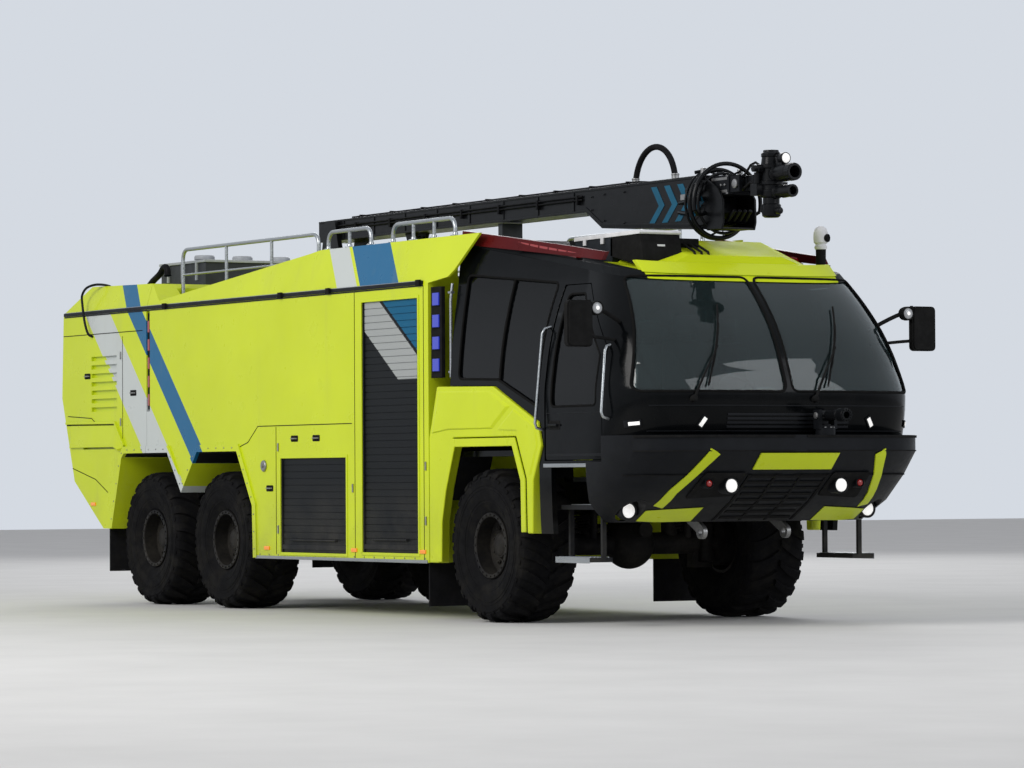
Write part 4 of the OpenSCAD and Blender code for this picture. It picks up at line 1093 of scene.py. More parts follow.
def face_bar(form, start, end, tall, out, more):
    """A short straight bar on the cab's face between two (y, z) points, grown by more all round."""
    long = math.dist(start, end)
    way = [(b - a) / long for a, b in zip(start, end)]

    def place(r, t, off):
        y, z = (a - e * more + (b - a + 2 * e * more) * t for a, b, e in zip(start, end, way))
        return on_front(z + way[0] * r * (tall + 2 * more), y - way[1] * r * (tall + 2 * more), off)

    for s in BOTH:
        form.sheet((-0.5, 0.5), spread(0.0, 1.0, 6), lambda *at: sided(place(*at), s), out)


heads, bezels, smalls = Form(), Form(), Form()
lamp_glass(heads, (5.115, 1.23, 1.0), 0.060)
bezels.pair.turned([(0.064, 0.0), (0.082, 0.0), (0.082, 0.03), (0.073, 0.036), (0.064, 0.03), (0.060, 0.004)],
                   (5.10, 1.23, 1.0), (1, 0, 0), 32)
bezels.pair.turned([(0.075, 0), (0.075, 0.055), (0.05, 0.07)], (5.035, 1.23, 1.0), (1, 0, 0), 32)
# Inner lamps, above them and nearer the middle
for y, z, big, form in ((0.56, 1.21, 0.060, heads), (0.77, 1.23, 0.032, smalls)):
    x = bumper_front(z + big, y, 0.02)
    bezels.pair.turned([(big + 0.010, -0.14), (big + 0.014, 0.0), (big + 0.006, 0.006), (big, 0.0),
                        (big - 0.01, -0.03)],
                       (x, y, z), (1, 0, 0), 28)
    lamp_glass(form, (x - 0.012, y, z), big - 0.004)
# Slim lights on the cab's face
for start, end, tall in (((0.83, 1.785), (0.875, 1.715), 0.034), ((1.36, 1.742), (1.42, 1.735), 0.030)):
    face_bar(bezels, start, end, tall, 0.010, 0.014)
    face_bar(heads, start, end, tall, 0.015, 0.0)
piece(heads, "headlamp_lenses", "lamp", node="lamps", sharp=50)
piece(bezels, "lamp_bezels", "charcoal", sharp=40)
piece(smalls, "fog_lamp_lenses", "red_lamp", sharp=50)

# Light strips: blue ahead of the body, red at the rear seam, roof edge bars, tail lamps
blue, dark, red, amber = Form(), Form(), Form(), Form()
dark.pair.box((2.125, 1.465, 2.20), (2.325, 1.503, 3.03))
for z in (2.26, 2.46, 2.66, 2.86):
    blue.pair.box((2.165, 1.49, z), (2.285, 1.514, z + 0.115))
    dark.pair.box((2.155, 1.49, z - 0.010), (2.295, 1.510, z - 0.002))
dark.pair.box((-3.99, 1.497, 2.02), (-3.93, 1.516, 3.02))
for z in (2.06, 2.25, 2.44, 2.63, 2.82):
    red.pair.box((-3.982, 1.51, z), (-3.938, 1.523, z + 0.12))
# Small amber marker lamps along the skirt
for x, z in ((-5.35, 1.02), (-1.20, 0.60), (0.645, 0.60), (2.0, 0.60)):
    amber.pair.box((x - 0.055, 1.52, z), (x + 0.055, 1.537, z + 0.035))


def roof_bar(form, ends, half, low, high):
    """A bar on both roof edges between two (x, y) points."""
    for s in BOTH:
        form.rings([[(x, s * (y + dy), roof_height(x) + dz) for dy, dz in
                     ((-half, low), (half, low), (half, high), (-half, high))] for x, y in ends])


ROOF_LAMPS = 9
for k in range(ROOF_LAMPS):
    ends = [(k + share) / ROOF_LAMPS for share in (0.06, 0.94)]
    roof_bar(red, [(2.90 + 1.29 * t, 1.264 - 0.11 * t) for t in ends], 0.026, 0.012, 0.062)
roof_bar(dark, ((2.89, 1.265), (4.20, 1.153)), 0.034, 0.002, 0.016)
# Tail lamps in their pockets
dark.pair.box((-5.975, 1.104, 1.503), (-5.852, 1.276, 1.757))
for z, form in ((1.515, red), (1.595, amber), (1.675, red)):
    form.pair.box((-5.992, 1.116, z), (-5.970, 1.264, z + 0.07))
piece(blue, "blue_strip_lamps", "blue_lamp", bevel=0.004)
piece(dark, "lamp_housings", "seam", bevel=0.003)
piece(red, "red_lamps", "red_lamp", bevel=0.004)
piece(amber, "amber_lamps", "amber", bevel=0.003)

# Light pipe between body and cab
pipes = Form()
pipes.pair.tube([(2.44, 1.47, 2.20), (2.44, 1.47, 2.9), (2.44, 1.452, 3.05)], 0.014, 10)
for z in (2.24, 2.96):
    pipes.pair.box((2.40, 1.44, z), (2.455, 1.478, z + 0.02))
piece(pipes, "light_pipes", "rail", bevel=0.002)


# Cab: window seals, handles, wipers, rails and sill


def dense(outline, step=0.08):
    """Points round an outline, no further apart than the step."""
    path = [*outline, outline[0]]
    counts = [max(1, int(math.dist(a, b) / step)) for a, b in zip(path, path[1:])]
    return [point for _, _, point in along_path(path, counts)]


def seal_path(outline, s):
    return [on_side(s)(z, x, -0.004) for x, z in dense(outline)]


seals = Form()
for s in BOTH:
    seals.tube(seal_path(SIDE_WINDOW, s), 0.012, 8, closed=True)
    seals.tube([sided(on_front(z, y, -0.004), s) for y, z in dense(SCREEN)], 0.013, 8, closed=True)
    # Bar that splits the side window
    seals.tube([on_side(s)(z, 3.36, -0.006) for z in spread(2.16, 3.05, 14)], 0.014, 8)
piece(seals, "window_seals", "seal", sharp=60)
sill = Form()
for side, s in SIDES.items():
    body = f"door_{side}"
    seal = Form().tube(seal_path(DOOR_WINDOW, s), 0.011, 8, closed=True)
    piece(seal, f"door_seal_{side}", "seal", body, sharp=60)
    # Handle in its dish, lower panel crease and sill strip
    y = cab_side(1.74, 4.33)
    trim = Form().tube([(x, s * (y + out), 1.74) for x, out in
                        ((4.27, -0.01), (4.27, 0.022), (4.41, 0.022), (4.41, -0.01))], 0.010, 10)
    for z, tall in ((1.47, 0.022), (1.84, 0.006)):
        trim.sheet((z, z + tall), spread(4.20, 5.11, 22), on_side(s), 0.005)
    piece(trim, f"door_trim_{side}", "charcoal", body, bevel=0.0015)
    dish = Form().slab(plate((4.245, 1.70), (4.435, 1.78), 0.02), s * (y - 0.006), s * (y + 0.003))
    piece(dish, f"door_dish_{side}", "seam", body, bevel=0.002)
    sill.sheet((1.375, 1.408), spread(4.16, 5.14, 24), on_side(s), 0.012)
piece(sill, "door_sills", "rail", bevel=0.003)

wipers = Form()
for y0 in (-0.95, 0.25):
    pivot = on_front(1.95, y0, 0.02)
    wipers.turned([(0.030, -0.05), (0.030, 0.012), (0.018, 0.022), (0, 0.022)], pivot, (1, 0, 0.25), 18)
    tip_y = y0 + 0.30
    wipers.tube([pivot, on_front(2.15, y0 + 0.1, 0.045), on_front(2.40, tip_y, 0.040)], [0.013, 0.010, 0.007],
                8)
    blade = [on_front(z, tip_y + dy, 0.016) for z, dy in zip(spread(2.06, 2.76, 14), spread(-0.16, 0.16, 14))]
    wipers.tube(blade, 0.009, 6)
    wipers.tube([(x + 0.014, y, z) for x, y, z in blade[3:11]], 0.006, 6)
piece(wipers, "wipers", "seam", sharp=40)

# Front panel: recessed slats and a plain strip, below the windscreen
slats = Form()
for z in (1.70, 1.735, 1.77, 1.805):
    slats.sheet(((z, 1.0), (z + 0.020, 0.6)), spread(-0.62, 0.62, 26),
                lambda row, y, out: on_front(row[0], y, out * row[1] if out > 0 else out), 0.010)
for z in (1.885, 1.668):
    slats.sheet((z, z + 0.010), spread(-1.30, 1.30, 48), on_front, 0.008)
piece(slats, "front_slats", "charcoal", bevel=0.002)

grabs = Form()
for s in BOTH:
    for x, z0, z1 in ((5.22, 1.78, 2.42), (4.125, 1.70, 2.60)):
        path = []
        for z, out in ((z0, -0.01), (z0 + 0.02, 0.055), (z0 + 0.06, 0.070), (z1 - 0.06, 0.070),
                       (z1 - 0.02, 0.055),
                       (z1, -0.01)):
            # The front rail leans back with the screen
            path.append((x - max(0, z - 2.24) * 0.5 if x > 5 else x, s * (cab_side(z, x) + out), z))
        grabs.tube(path, 0.013, 10)
piece(grabs, "grab_rails", "rail", sharp=60)


# Front fenders and arch liners

FENDER = [(2.11, 0.52), (2.11, 1.66), (2.26, 2.12), (3.29, 2.10), (4.08, 1.77), (4.14, 1.56), (4.00, 1.27),
          (3.99, 0.80), (3.895, 0.80), (3.88, 1.28), (3.70, 1.65), (2.56, 1.65), (2.37, 1.20), (2.29, 0.90),
          (2.28, 0.52)]
guards = Form()
guards.pair.slab(FENDER, 1.400, 1.522)
piece(guards, "fender_plates", "yellow", node="fenders", bevel=0.014, steps=3)
flares = Form()
flares.side_bar([(2.325, 0.53), (2.335, 0.90), (2.41, 1.185), (2.585, 1.605), (3.675, 1.605), (3.84, 1.27),
                 (3.852, 0.81)], 0.075, 0.020, 1.518)
piece(flares, "fender_lips", "yellow", bevel=0.008, steps=3)
# Sloping facets over the arch, standing out a little from the plate
FACETS = (
    ([(2.145, 1.69), (2.28, 2.085), (3.27, 2.068), (3.62, 1.92), (3.30, 1.72), (2.46, 1.72)], 0.016),
    ([(3.36, 1.725), (3.66, 1.905), (4.05, 1.745), (4.10, 1.575), (3.97, 1.30), (3.93, 1.30), (3.72, 1.715)],
     0.012),
)
facets = Form()
for outline, rise in FACETS:
    middle = [sum(column) / len(outline) for column in zip(*outline)]
    shrunk = [tuple(c + (m - c) * 0.10 for c, m in zip(point, middle)) for point in outline]
    for s in BOTH:
        facets.rings([[(x, s * y, z) for x, z in line] for line,
                      y in ((outline, 1.518), (shrunk, 1.520 + rise))])
piece(facets, "fender_facets", "yellow", bevel=0.004, sharp=25)
piece(liner([(2.32, 1.10), (2.35, 1.21), (2.55, 1.664), (3.71, 1.664), (3.875, 1.30)], 1.06, 1.399),
      "arch_liners_front", "flap")


# Boom dressing

FRONT, TOP = (1, 0, 0), (0, 0, 1)
LEFT = (0, 1, 0)
BOLT = [(0.011, 0.0), (0.011, 0.008), (0.0, 0.010)]
chevrons = Form()
for tip in (3.94, 4.16, 4.38, 4.60):
    for (x0, z0), (x1, z1) in (((tip - 0.13, 3.872), (tip, 3.70)), ((tip, 3.70), (tip - 0.17, 3.545))):
        # The last one is cut a little shorter at the boom's end
        wide = 0.095 * (0.8 if tip > 4.5 else 1.0)
        chevrons.pair.slab([(x0, z0), (x0 + 0.095, z0), (x1 + wide, z1), (x1, z1)], 0.1745, 0.1785)
piece(chevrons, "boom_chevrons", "chevron", "boom")

trim = Form()
trim.pair.box((-2.74, 0.149, 3.912), (2.63, 0.158, 3.932))
trim.pair.box((-2.74, 0.149, 3.718), (2.63, 0.158, 3.738))
for x in spread(-2.2, 2.4, 8):
    trim.pair.box((x - 0.02, 0.149, 3.738), (x + 0.02, 0.158, 3.912))
trim.pair.slab([(2.66, 3.742), (2.955, 3.575), (4.45, 3.491), (4.70, 3.612), (4.69, 3.640), (4.445, 3.515),
                (2.965, 3.60), (2.67, 3.765)], 0.174, 0.182)
trim.pair.box((2.66, 0.174, 3.905), (4.64, 0.182, 3.928))
for x, z in ((2.78, 3.85), (2.78, 3.73), (3.0, 3.86), (3.0, 3.62), (3.35, 3.86), (3.35, 3.58), (4.66, 3.66)):
    trim.pair.turned(BOLT, (x, 0.180, z), LEFT, 6)
piece(trim, "boom_trims", "boom", "boom", bevel=0.003)

lines = Form()
for y, z in ((-0.172, 3.865), (-0.172, 3.835), (0.172, 3.865), (0.172, 3.835), (0.172, 3.805)):
    lines.tube([(-2.55, y * 0.93, z), (-2.35, y, z), (2.60, y, z)], 0.009, 8)
for x in spread(-2.0, 2.4, 7):
    lines.pair.box((x + 0.10, 0.150, 3.792), (x + 0.13, 0.186, 3.880))
# Cable tray on top, held by straps
lines.box((-2.2, -0.055, 3.928), (3.4, 0.055, 3.962))
for x in spread(-2.0, 3.2, 9):
    lines.box((x, -0.075, 3.926), (x + 0.03, 0.075, 3.968))
piece(lines, "boom_pipes", "frame", "boom", bevel=0.002)


def on_hoop(x, radius, turn, middle):
    """A point of a hoop across the boom."""
    return (x, radius * math.cos(turn), middle + radius * math.sin(turn))


# Hoop gear at the tip: a second ring, spokes, short pipes and a valve block
gear = Form()
HOOP_X, HOOP_Z = 4.65, 3.68
gear.ring((HOOP_X + 0.075, 0, HOOP_Z), FRONT, 0.262, 0.014, 48, 8)
gear.ring((HOOP_X - 0.06, 0, HOOP_Z), FRONT, 0.306, 0.013, 48, 8)
for k in range(12):
    turn = math.pi / 6 * k + 0.26
    gear.rod(on_hoop(HOOP_X + 0.075, 0.262, turn, HOOP_Z), on_hoop(HOOP_X - 0.06, 0.30, turn, HOOP_Z), 0.010,
             steps=8)
gear.pair.tube([(4.30, 0.19, 3.62), (4.46, 0.215, 3.60), (4.60, 0.235, 3.66), (4.70, 0.235, 3.74),
                (4.73, 0.22, 3.86)],
               0.020, 10)
gear.pair.tube([(4.30, 0.19, 3.70), (4.50, 0.205, 3.71), (4.66, 0.21, 3.80), (4.70, 0.19, 3.955)], 0.014, 10)
gear.pair.turned([(0.034, 0.0), (0.034, 0.10), (0.024, 0.115), (0.0, 0.115)], (4.44, 0.185, 3.80), FRONT, 16)
gear.tube([(4.56, -0.19, 3.955), (4.60, -0.1, 3.975), (4.60, 0.1, 3.975), (4.56, 0.19, 3.955)], 0.016, 10)
gear.tube([on_hoop(4.79, 0.345, math.radians(turn), HOOP_Z) for turn in spread(-12, 192, 33)], 0.019, 10)
gear.pair.tube([(4.79, 0.337, 3.61), (4.76, 0.29, 3.575), (4.72, 0.20, 3.58), (4.70, 0.165, 3.60)], 0.016, 10)
for turn in (0.55, 1.05, math.pi - 1.05, math.pi - 0.55):
    gear.rod(on_hoop(4.79, 0.345, turn, HOOP_Z), on_hoop(4.655, 0.30, turn, HOOP_Z), 0.010, steps=8)
piece(gear, "hoop_gear", "boom", "boom", bevel=0.0015, sharp=40)
cheeks = Form()
cheeks.pair.slab([(4.44, 3.474), (4.70, 3.450), (4.965, 3.436), (4.99, 3.50), (4.985, 3.70), (4.90, 3.80),
                  (4.66, 3.925), (4.44, 3.925)], 0.156, 0.176)
cheeks.box((4.70, -0.16, 3.440), (4.965, 0.16, 3.456))
for y in (-0.09, -0.03, 0.03, 0.09):
    cheeks.tube([(4.45, y, 3.52), (4.70, y, 3.49), (4.95, y, 3.52), (5.04, y * 0.9, 3.60)], 0.018, 8)
piece(cheeks, "boom_tip_cheeks", "boom", "boom", bevel=0.004, sharp=40)
bright = Form()
bright.pair.turned([(0.040, 0.0), (0.040, 0.030), (0.030, 0.036), (0.0, 0.036)], (4.55, 0.186, 3.80), FRONT,
                   18)
bright.pair.turned([(0.026, -0.01), (0.026, 0.035), (0.0, 0.04)], (4.705, 0.19, 3.95), TOP, 12)
bright.pair.box((4.33, 0.180, 3.725), (4.42, 0.196, 3.775))
piece(bright, "hoop_fittings", "steel", "boom", bevel=0.002, sharp=40)

# Slide: collar, wear strips and bolts
slide = Form()
for z in (3.77, 3.88):
    slide.pair.box((4.74, 0.128, z - 0.012), (4.99, 0.1315, z + 0.012))
slide.pair.turned([(0.040, 0.0), (0.040, 0.016), (0.028, 0.020), (0.0, 0.020)], (5.11, 0.119, 3.825), LEFT,
                  20)
for x in (4.90, 4.96):
    slide.pair.turned([(0.012, 0.0), (0.012, 0.010), (0.0, 0.012)], (x, 0.130, 3.825), LEFT, 6)
for z in (3.742, 3.893):
    slide.box((4.975, -0.134, z), (5.005, 0.134, z + 0.015))
piece(slide, "slide_trims", "steel", "boom_slide", bevel=0.002)

# Head: swivels, barrels, motors, lamp and hoses
head = Form()
head.turned([(0.066, -0.086), (0.066, -0.06), (0.060, -0.055), (0.060, 0.055), (0.066, 0.06), (0.066, 0.086)],
            (5.11, 0.0, 3.825), LEFT, 36)
head.slab([(5.10, 3.765), (5.30, 3.755), (5.46, 3.76), (5.46, 3.89), (5.30, 3.888), (5.10, 3.885)], -0.060,
          0.060)
for x in (5.20, 5.30, 5.38):
    head.box((x, -0.068, 3.758), (x + 0.018, 0.068, 3.892))
head.turned([(0.0, -0.155), (0.070, -0.150), (0.088, -0.142), (0.098, -0.12), (0.098, -0.085),
             (0.090, -0.078),
             (0.090, -0.045), (0.102, -0.038), (0.102, -0.012), (0.090, -0.005), (0.090, 0.10),
             (0.102, 0.106),
             (0.102, 0.132), (0.088, 0.138), (0.080, 0.20), (0.086, 0.206), (0.086, 0.232), (0.070, 0.246),
             (0.066, 0.262), (0.0, 0.268)], (5.49, 0, 3.83), TOP, 36)
for z in (3.803, 3.962):
    for sin, cos in around(10, 0.2):
        head.turned([(0.010, -0.004), (0.010, 0.006), (0.0, 0.008)], (5.49 + 0.094 * cos, 0.094 * sin, z),
                    TOP, 6)
# Lower swivel and its motor
head.turned([(0.0, -0.320), (0.060, -0.318), (0.078, -0.305), (0.084, -0.27), (0.084, -0.21), (0.072, -0.20),
             (0.072, -0.15), (0.0, -0.148)], (5.49, 0, 3.83), TOP, 32)
head.turned([(0.030, 0.0), (0.030, 0.07), (0.022, 0.078), (0.0, 0.08)], (5.56, 0.0, 3.565), FRONT, 18)
# Upper barrel with its bore left open for water
head.turned([(0.062, 0.0), (0.072, 0.02), (0.072, 0.05), (0.060, 0.058), (0.060, 0.10), (0.074, 0.108),
             (0.078, 0.16),
             (0.075, 0.235), (0.070, 0.255), (0.075, 0.262), (0.0755, 0.325), (0.070, 0.330), (0.052, 0.330),
             (0.050, 0.325), (0.050, 0.160), (0.0, 0.150)], (5.53, 0, 3.885), FRONT, 40)
for sin, cos in around(8):
    head.rod((5.795, 0.066 * cos, 3.885 + 0.066 * sin), (5.85, 0.066 * cos, 3.885 + 0.066 * sin), 0.012,
             steps=8)
# Lower barrel
head.turned([(0.050, 0.0), (0.058, 0.02), (0.058, 0.06), (0.048, 0.07), (0.048, 0.14), (0.056, 0.15),
             (0.052, 0.26),
             (0.056, 0.268), (0.055, 0.300), (0.036, 0.300), (0.034, 0.22), (0.0, 0.21)],
            (5.53, 0, 3.725), FRONT, 32)
# Motors and gear boxes at the sides
head.pair.turned([(0.036, 0.0), (0.036, 0.055), (0.030, 0.062), (0.030, 0.100), (0.0, 0.104)],
                 (5.49, 0.088, 3.93),
                 LEFT, 20)
head.box((5.40, -0.155, 3.70), (5.50, -0.075, 3.80))
head.box((5.42, 0.075, 3.74), (5.52, 0.150, 3.82))
head.rod((5.45, -0.115, 3.80), (5.45, -0.115, 3.90), 0.030, steps=16, ease=0.004)
piece(head, "head_barrels", "boom", "boom_head", node="boom_head", bevel=0.0015, sharp=40)

beam = Form()
beam.turned([(0.0, -0.07), (0.034, -0.066), (0.046, -0.04), (0.050, 0.0), (0.050, 0.022), (0.044, 0.030),
             (0.042, 0.020)], (5.70, 0.0, 4.010), FRONT, 28)
beam.slab([(5.60, 3.945), (5.70, 3.945), (5.70, 3.972), (5.62, 3.972)], -0.030, 0.030)
beam.tube([(5.55, 0.0, 4.05), (5.60, 0.0, 4.065), (5.64, 0.0, 4.04), (5.66, 0, 4.01)], 0.010, 8)
piece(beam, "head_lamp_body", "boom", "boom_head", bevel=0.0015, sharp=40)
shine = Form().turned([(0.043, 0.0), (0.040, 0.008), (0.022, 0.014), (0.0, 0.016)], (5.718, 0.0, 4.010),
                      FRONT, 28)
piece(shine, "head_lamp_lens", "lamp", "boom_head", sharp=50)
leads = Form()
for y0, z0, y1, z1 in ((-0.07, 3.885, -0.10, 3.99), (0.07, 3.885, 0.105, 3.97), (-0.062, 3.78, -0.115, 3.80),
                       (0.066, 3.77, 0.11, 3.80)):
    leads.tube([(5.14, y0, z0), (5.22, y0 * 1.25, z0 + 0.02),
                (5.32, (y0 + y1) / 2 * 1.15, (z0 + z1) / 2 + 0.035),
                (5.40, y1, z1), (5.46, y1 * 0.95, z1 - 0.03)], 0.011, 8)
piece(leads, "head_pipes", "hose", "boom_head", sharp=60)


# Hose loop on the boom

LOOP_X, LOOP_Y, LOOP_Z, LOOP_R = 3.45, 0.09, 3.93, 0.34
hose_points = [(LOOP_X + LOOP_R * math.cos(turn), LOOP_Y, LOOP_Z + LOOP_R * math.sin(turn))
               for turn in spread(0.0, math.pi, 25)]
hose_curve = bpy.data.curves.new("hose_run", "CURVE")
hose_curve.dimensions = "3D"
hose_curve.bevel_depth = 0.028
hose_curve.bevel_resolution = 6
hose_curve.use_fill_caps = True
spline = hose_curve.splines.new("POLY")
spline.points.add(len(hose_points) - 1)
for point, place in zip(spline.points, hose_points):
    point.co = (*place, 1.0)
hose = show(hose_curve, "hose_run", "hose", "boom", node="hose_loop", weighted=False)
collars = Form()
for x in (LOOP_X - LOOP_R, LOOP_X + LOOP_R):
    collars.turned([(0.036, -0.005), (0.044, 0.0), (0.044, 0.018), (0.034, 0.022), (0.034, 0.060),
                    (0.037, 0.064),
                    (0.037, 0.075), (0.030, 0.078)], (x, LOOP_Y, 3.931), TOP, 24)
    collars.box((x - 0.055, 0.040, 3.930), (x + 0.055, 0.140, 3.942))
collars_piece = piece(collars, "hose_collars", "steel", "boom", bevel=0.002, sharp=40)


# Mirrors

MIRROR_Y, MIRROR_Z = 1.77, 2.5875
mirrors, mirror_faces = Form(), Form()
for s in BOTH:
    outline = rounded([(s * 1.645, 2.39), (s * 1.895, 2.39), (s * 1.895, 2.785), (s * 1.645, 2.785)], 0.045,
                      6)

    def scaled(wide, tall, middle=MIRROR_Z):
        return [(s * MIRROR_Y + (y - s * MIRROR_Y) * wide, middle + (z - MIRROR_Z) * tall) for y,
                z in outline]

    mirrors.slab(outline, 5.182, 5.238, "x")
    mirrors.slab(scaled(0.90, 0.94), 5.236, 5.252, "x")
    mirror_faces.slab(scaled(0.86, 0.56, 2.66), 5.176, 5.184, "x")
    mirror_faces.slab(scaled(0.86, 0.30, 2.465), 5.176, 5.184, "x")
for start, bend, end, size in (
    ((5.13, 1.235, 2.560), (5.195, 1.56, 2.745), (5.205, 1.70, 2.750), 0.019),
    ((5.15, 1.250, 2.440), (5.200, 1.56, 2.475), (5.205, 1.68, 2.480), 0.015),
):
    mirrors.pair.tube([tuple((1 - t)**2 * a + 2 * t * (1 - t) * b + t * t * c for a, b,
                             c in zip(start, bend, end))
                       for t in spread(0.0, 1.0, 9)], size, 10)
mirrors.pair.rod((5.205, 1.66, 2.43), (5.205, 1.66, 2.79), 0.016, steps=12)
# Round lamp on the upper arm
mirrors.pair.turned([(0.030, -0.045), (0.056, -0.030), (0.062, 0.0), (0.062, 0.050), (0.056, 0.060),
                     (0.050, 0.052),
                     (0.046, -0.020)], (5.195, 1.60, 2.72), FRONT, 28)
piece(mirrors, "mirror_housings", "seam", slot="mirror_black", node="mirrors", bevel=0.004, sharp=40)
piece(mirror_faces, "mirror_faces", "mirror", bevel=0.002)
arm_lamps, bulbs = Form(), Form()
arm_lamps.pair.turned([(0.050, -0.004), (0.046, 0.004), (0.026, 0.010), (0.0, 0.012)], (5.240, 1.60, 2.72),
                      FRONT, 28)
bulbs.pair.turned([(0.019, 0.0), (0.017, 0.006), (0.0, 0.008)], (5.246, 1.60, 2.72), FRONT, 16)
piece(arm_lamps, "mirror_lamps", "lens", sharp=50)
piece(bulbs, "mirror_lamp_bulbs", "lamp", sharp=50)


# Handrails and ladder

rails = Form()


def hand_loop(x0, x1, y, foot, top, posts, corner=0.10):
    """A bent tube with rounded corners, and posts between its ends, on both sides."""
    turns = [math.pi / 2 * k / 6 for k in range(7)]
    left = [(x0 + corner * (1 - math.cos(turn)), y, top - corner + corner * math.sin(turn)) for turn in turns]
    path = [(x0, y, foot), *left, *((x0 + x1 - x, y, z) for x, _, z in left[::-1]), (x1, y, foot)]
    rails.pair.tube(path, 0.020, 14)
    for x in posts:
        rails.pair.rod((x, y, foot), (x, y, top - 0.008), 0.017, steps=12)
    for x in (x0, x1, *posts):
        rails.pair.turned([(0.048, 0.0), (0.048, 0.010), (0.026, 0.014), (0.022, 0.035), (0.019, 0.037)],
                          (x, y, foot), TOP, 16)
        for sin, cos in around(4, math.pi / 4):
            rails.pair.turned([(0.007, 0.009), (0.007, 0.015), (0.0, 0.016)],
                              (x + 0.036 * cos, y + 0.036 * sin, foot), TOP, 6)


hand_loop(-3.90, -0.80, 1.15, 3.12, 3.68, [-2.867, -1.833])
rails.pair.tube([(-3.89, 1.15, 3.42), (-0.81, 1.15, 3.42)], 0.012, 10)
hand_loop(-0.24, 0.64, 1.3305, 3.49, 3.66, [0.20])
hand_loop(1.08, 2.28, 1.3305, 3.49, 3.66, [1.48, 1.88])
LADDER_X = -6.15


def back_x(z):
    """X of the back face at a height."""
    return float(np.interp(z, (0.78, 1.28, 2.18, 3.07), (-5.10, -5.85, -6.175, -6.13)))


for y in (-0.98, -0.64):
    rails.tube([(LADDER_X, y, 0.86), (LADDER_X, y, 1.95), (LADDER_X, y, 2.10)], 0.017, 12)
    rails.ball((LADDER_X, y, 0.86), 0.0172, 12)
    for z in (1.32, 1.75):
        rails.rod((LADDER_X, y, z), (back_x(z) + 0.004, y, z), 0.011, steps=10)
        rails.turned([(0.028, 0.0), (0.028, 0.006)], (back_x(z) - 0.004, y, z), FRONT, 14)
for k in range(4):
    z = 0.93 + 0.30 * k
    rails.rod((LADDER_X, -0.98, z), (LADDER_X, -0.64, z), 0.014, steps=12)
    for m in range(14):
        rails.ring((LADDER_X, -0.955 + 0.0223 * m, z), LEFT, 0.0142, 0.0016, 12, 4)
piece(rails, "handrail_tubes", "rail", node="handrails", sharp=50)


# Roof of the cab: fascia strips, header pads, locker lid, camera and aerials

strips = Form()
for s in BOTH:
    strips.sheet(((3.385, 0.112), (3.505, 0.135)), spread(2.49, 4.62, 28),
                 lambda row, x, out: on_side(s)(row[0] - row[1] * (x - 2.65), x, out), 0.012, -0.030)
piece(strips, "roof_edge_strips", "dark_red", bevel=0.004)


def on_brow(dz, y, out):
    """A point of the cab's face where it meets the roof, raised by dz."""
    x = 4.0
    for _ in range(12):
        x = cab_front(roof_height(x) + dz, y)
    return on_front(roof_height(x) + dz, y, out)


brow = Form().sheet((-0.012, 0.078), spread(-1.0, 1.0, 61), on_brow, 0.014, -0.040)
piece(brow, "roof_brow", "yellow", bevel=0.006)

cabin_top = Form()
# Dark cable box and pipes over the header
for y in (-0.42, -0.35, -0.28):
    cabin_top.tube([(4.50, y, 3.36), (4.72, y + 0.01, 3.31), (4.88, y + 0.02, 3.24), (4.96, y, 3.10)], 0.012,
                   8)
cabin_top.box((4.60, -0.46, 3.29), (4.70, -0.24, 3.365))
cabin_top.slab([(4.30, 3.22), (4.84, 3.10), (4.84, 3.22), (4.79, 3.395), (4.30, 3.375)], -0.90, -0.50)
cabin_top.tube([(3.2, 0.95, 3.36), (3.9, 0.96, 3.25), (4.6, 0.98, 3.14)], 0.014, 8)
# Hatch and aerial on the roof
cabin_top.rings([[(x, y, roof_height(x) + rise) for x, y in plate((2.75, -0.42), (3.45, 0.42), 0.05)]
                 for rise in (0.0, 0.035)])
cabin_top.turned([(0.010, 0.0), (0.008, 0.02), (0.004, 0.42), (0.0, 0.43)], (3.15, 1.02, roof_height(3.15)),
                 (-0.15, 0, 1), 10)
cabin_top.turned([(0.028, 0.0), (0.024, 0.03), (0.010, 0.035)], (3.15, 1.02, roof_height(3.15) - 0.004), TOP,
                 14)
piece(cabin_top, "cab_roof_fittings", "seam", bevel=0.004, sharp=40)

lid = Form()
lid.slab([(3.69, 3.375), (4.80, 3.390), (4.815, 3.405), (4.79, 3.425), (3.70, 3.412)], -0.912, -0.488)
lid.box((4.80, -0.74, 3.24), (4.822, -0.66, 3.30))
for x in (3.85, 4.15):
    lid.box((x, -0.915, 3.33), (x + 0.05, -0.900, 3.39))
piece(lid, "locker_lid", "white", bevel=0.004)

camera_head = Form().turned([(0.050, 0.0), (0.056, 0.01), (0.056, 0.03), (0.048, 0.035), (0.048, 0.05),
                             (0.062, 0.06),
                             (0.066, 0.10), (0.064, 0.15), (0.052, 0.185), (0.026, 0.205), (0.0, 0.210)],
                            (4.70, 1.04, 3.30), TOP, 32)
piece(camera_head, "roof_camera", "white", sharp=40)
camera_eye = Form()
camera_eye.turned([(0.036, 0.0), (0.036, 0.030), (0.028, 0.034), (0.026, 0.024), (0.0, 0.022)],
                  (4.745, 1.06, 3.40),
                  (1, 0.55, 0), 24)
camera_eye.turned([(0.046, -0.01), (0.044, 0.0), (0.046, 0.15)], (4.70, 1.04, 3.165), TOP, 24)
piece(camera_eye, "roof_camera_eye", "seam", sharp=40)


# Seats as padded cushions on plain bases

SEATS = [(4.35, 0.0), (3.75, -0.80), (3.75, 0.80), (3.00, -0.45), (3.00, 0.45)]
FLOOR_Z = 1.53
DRAW = 0.045


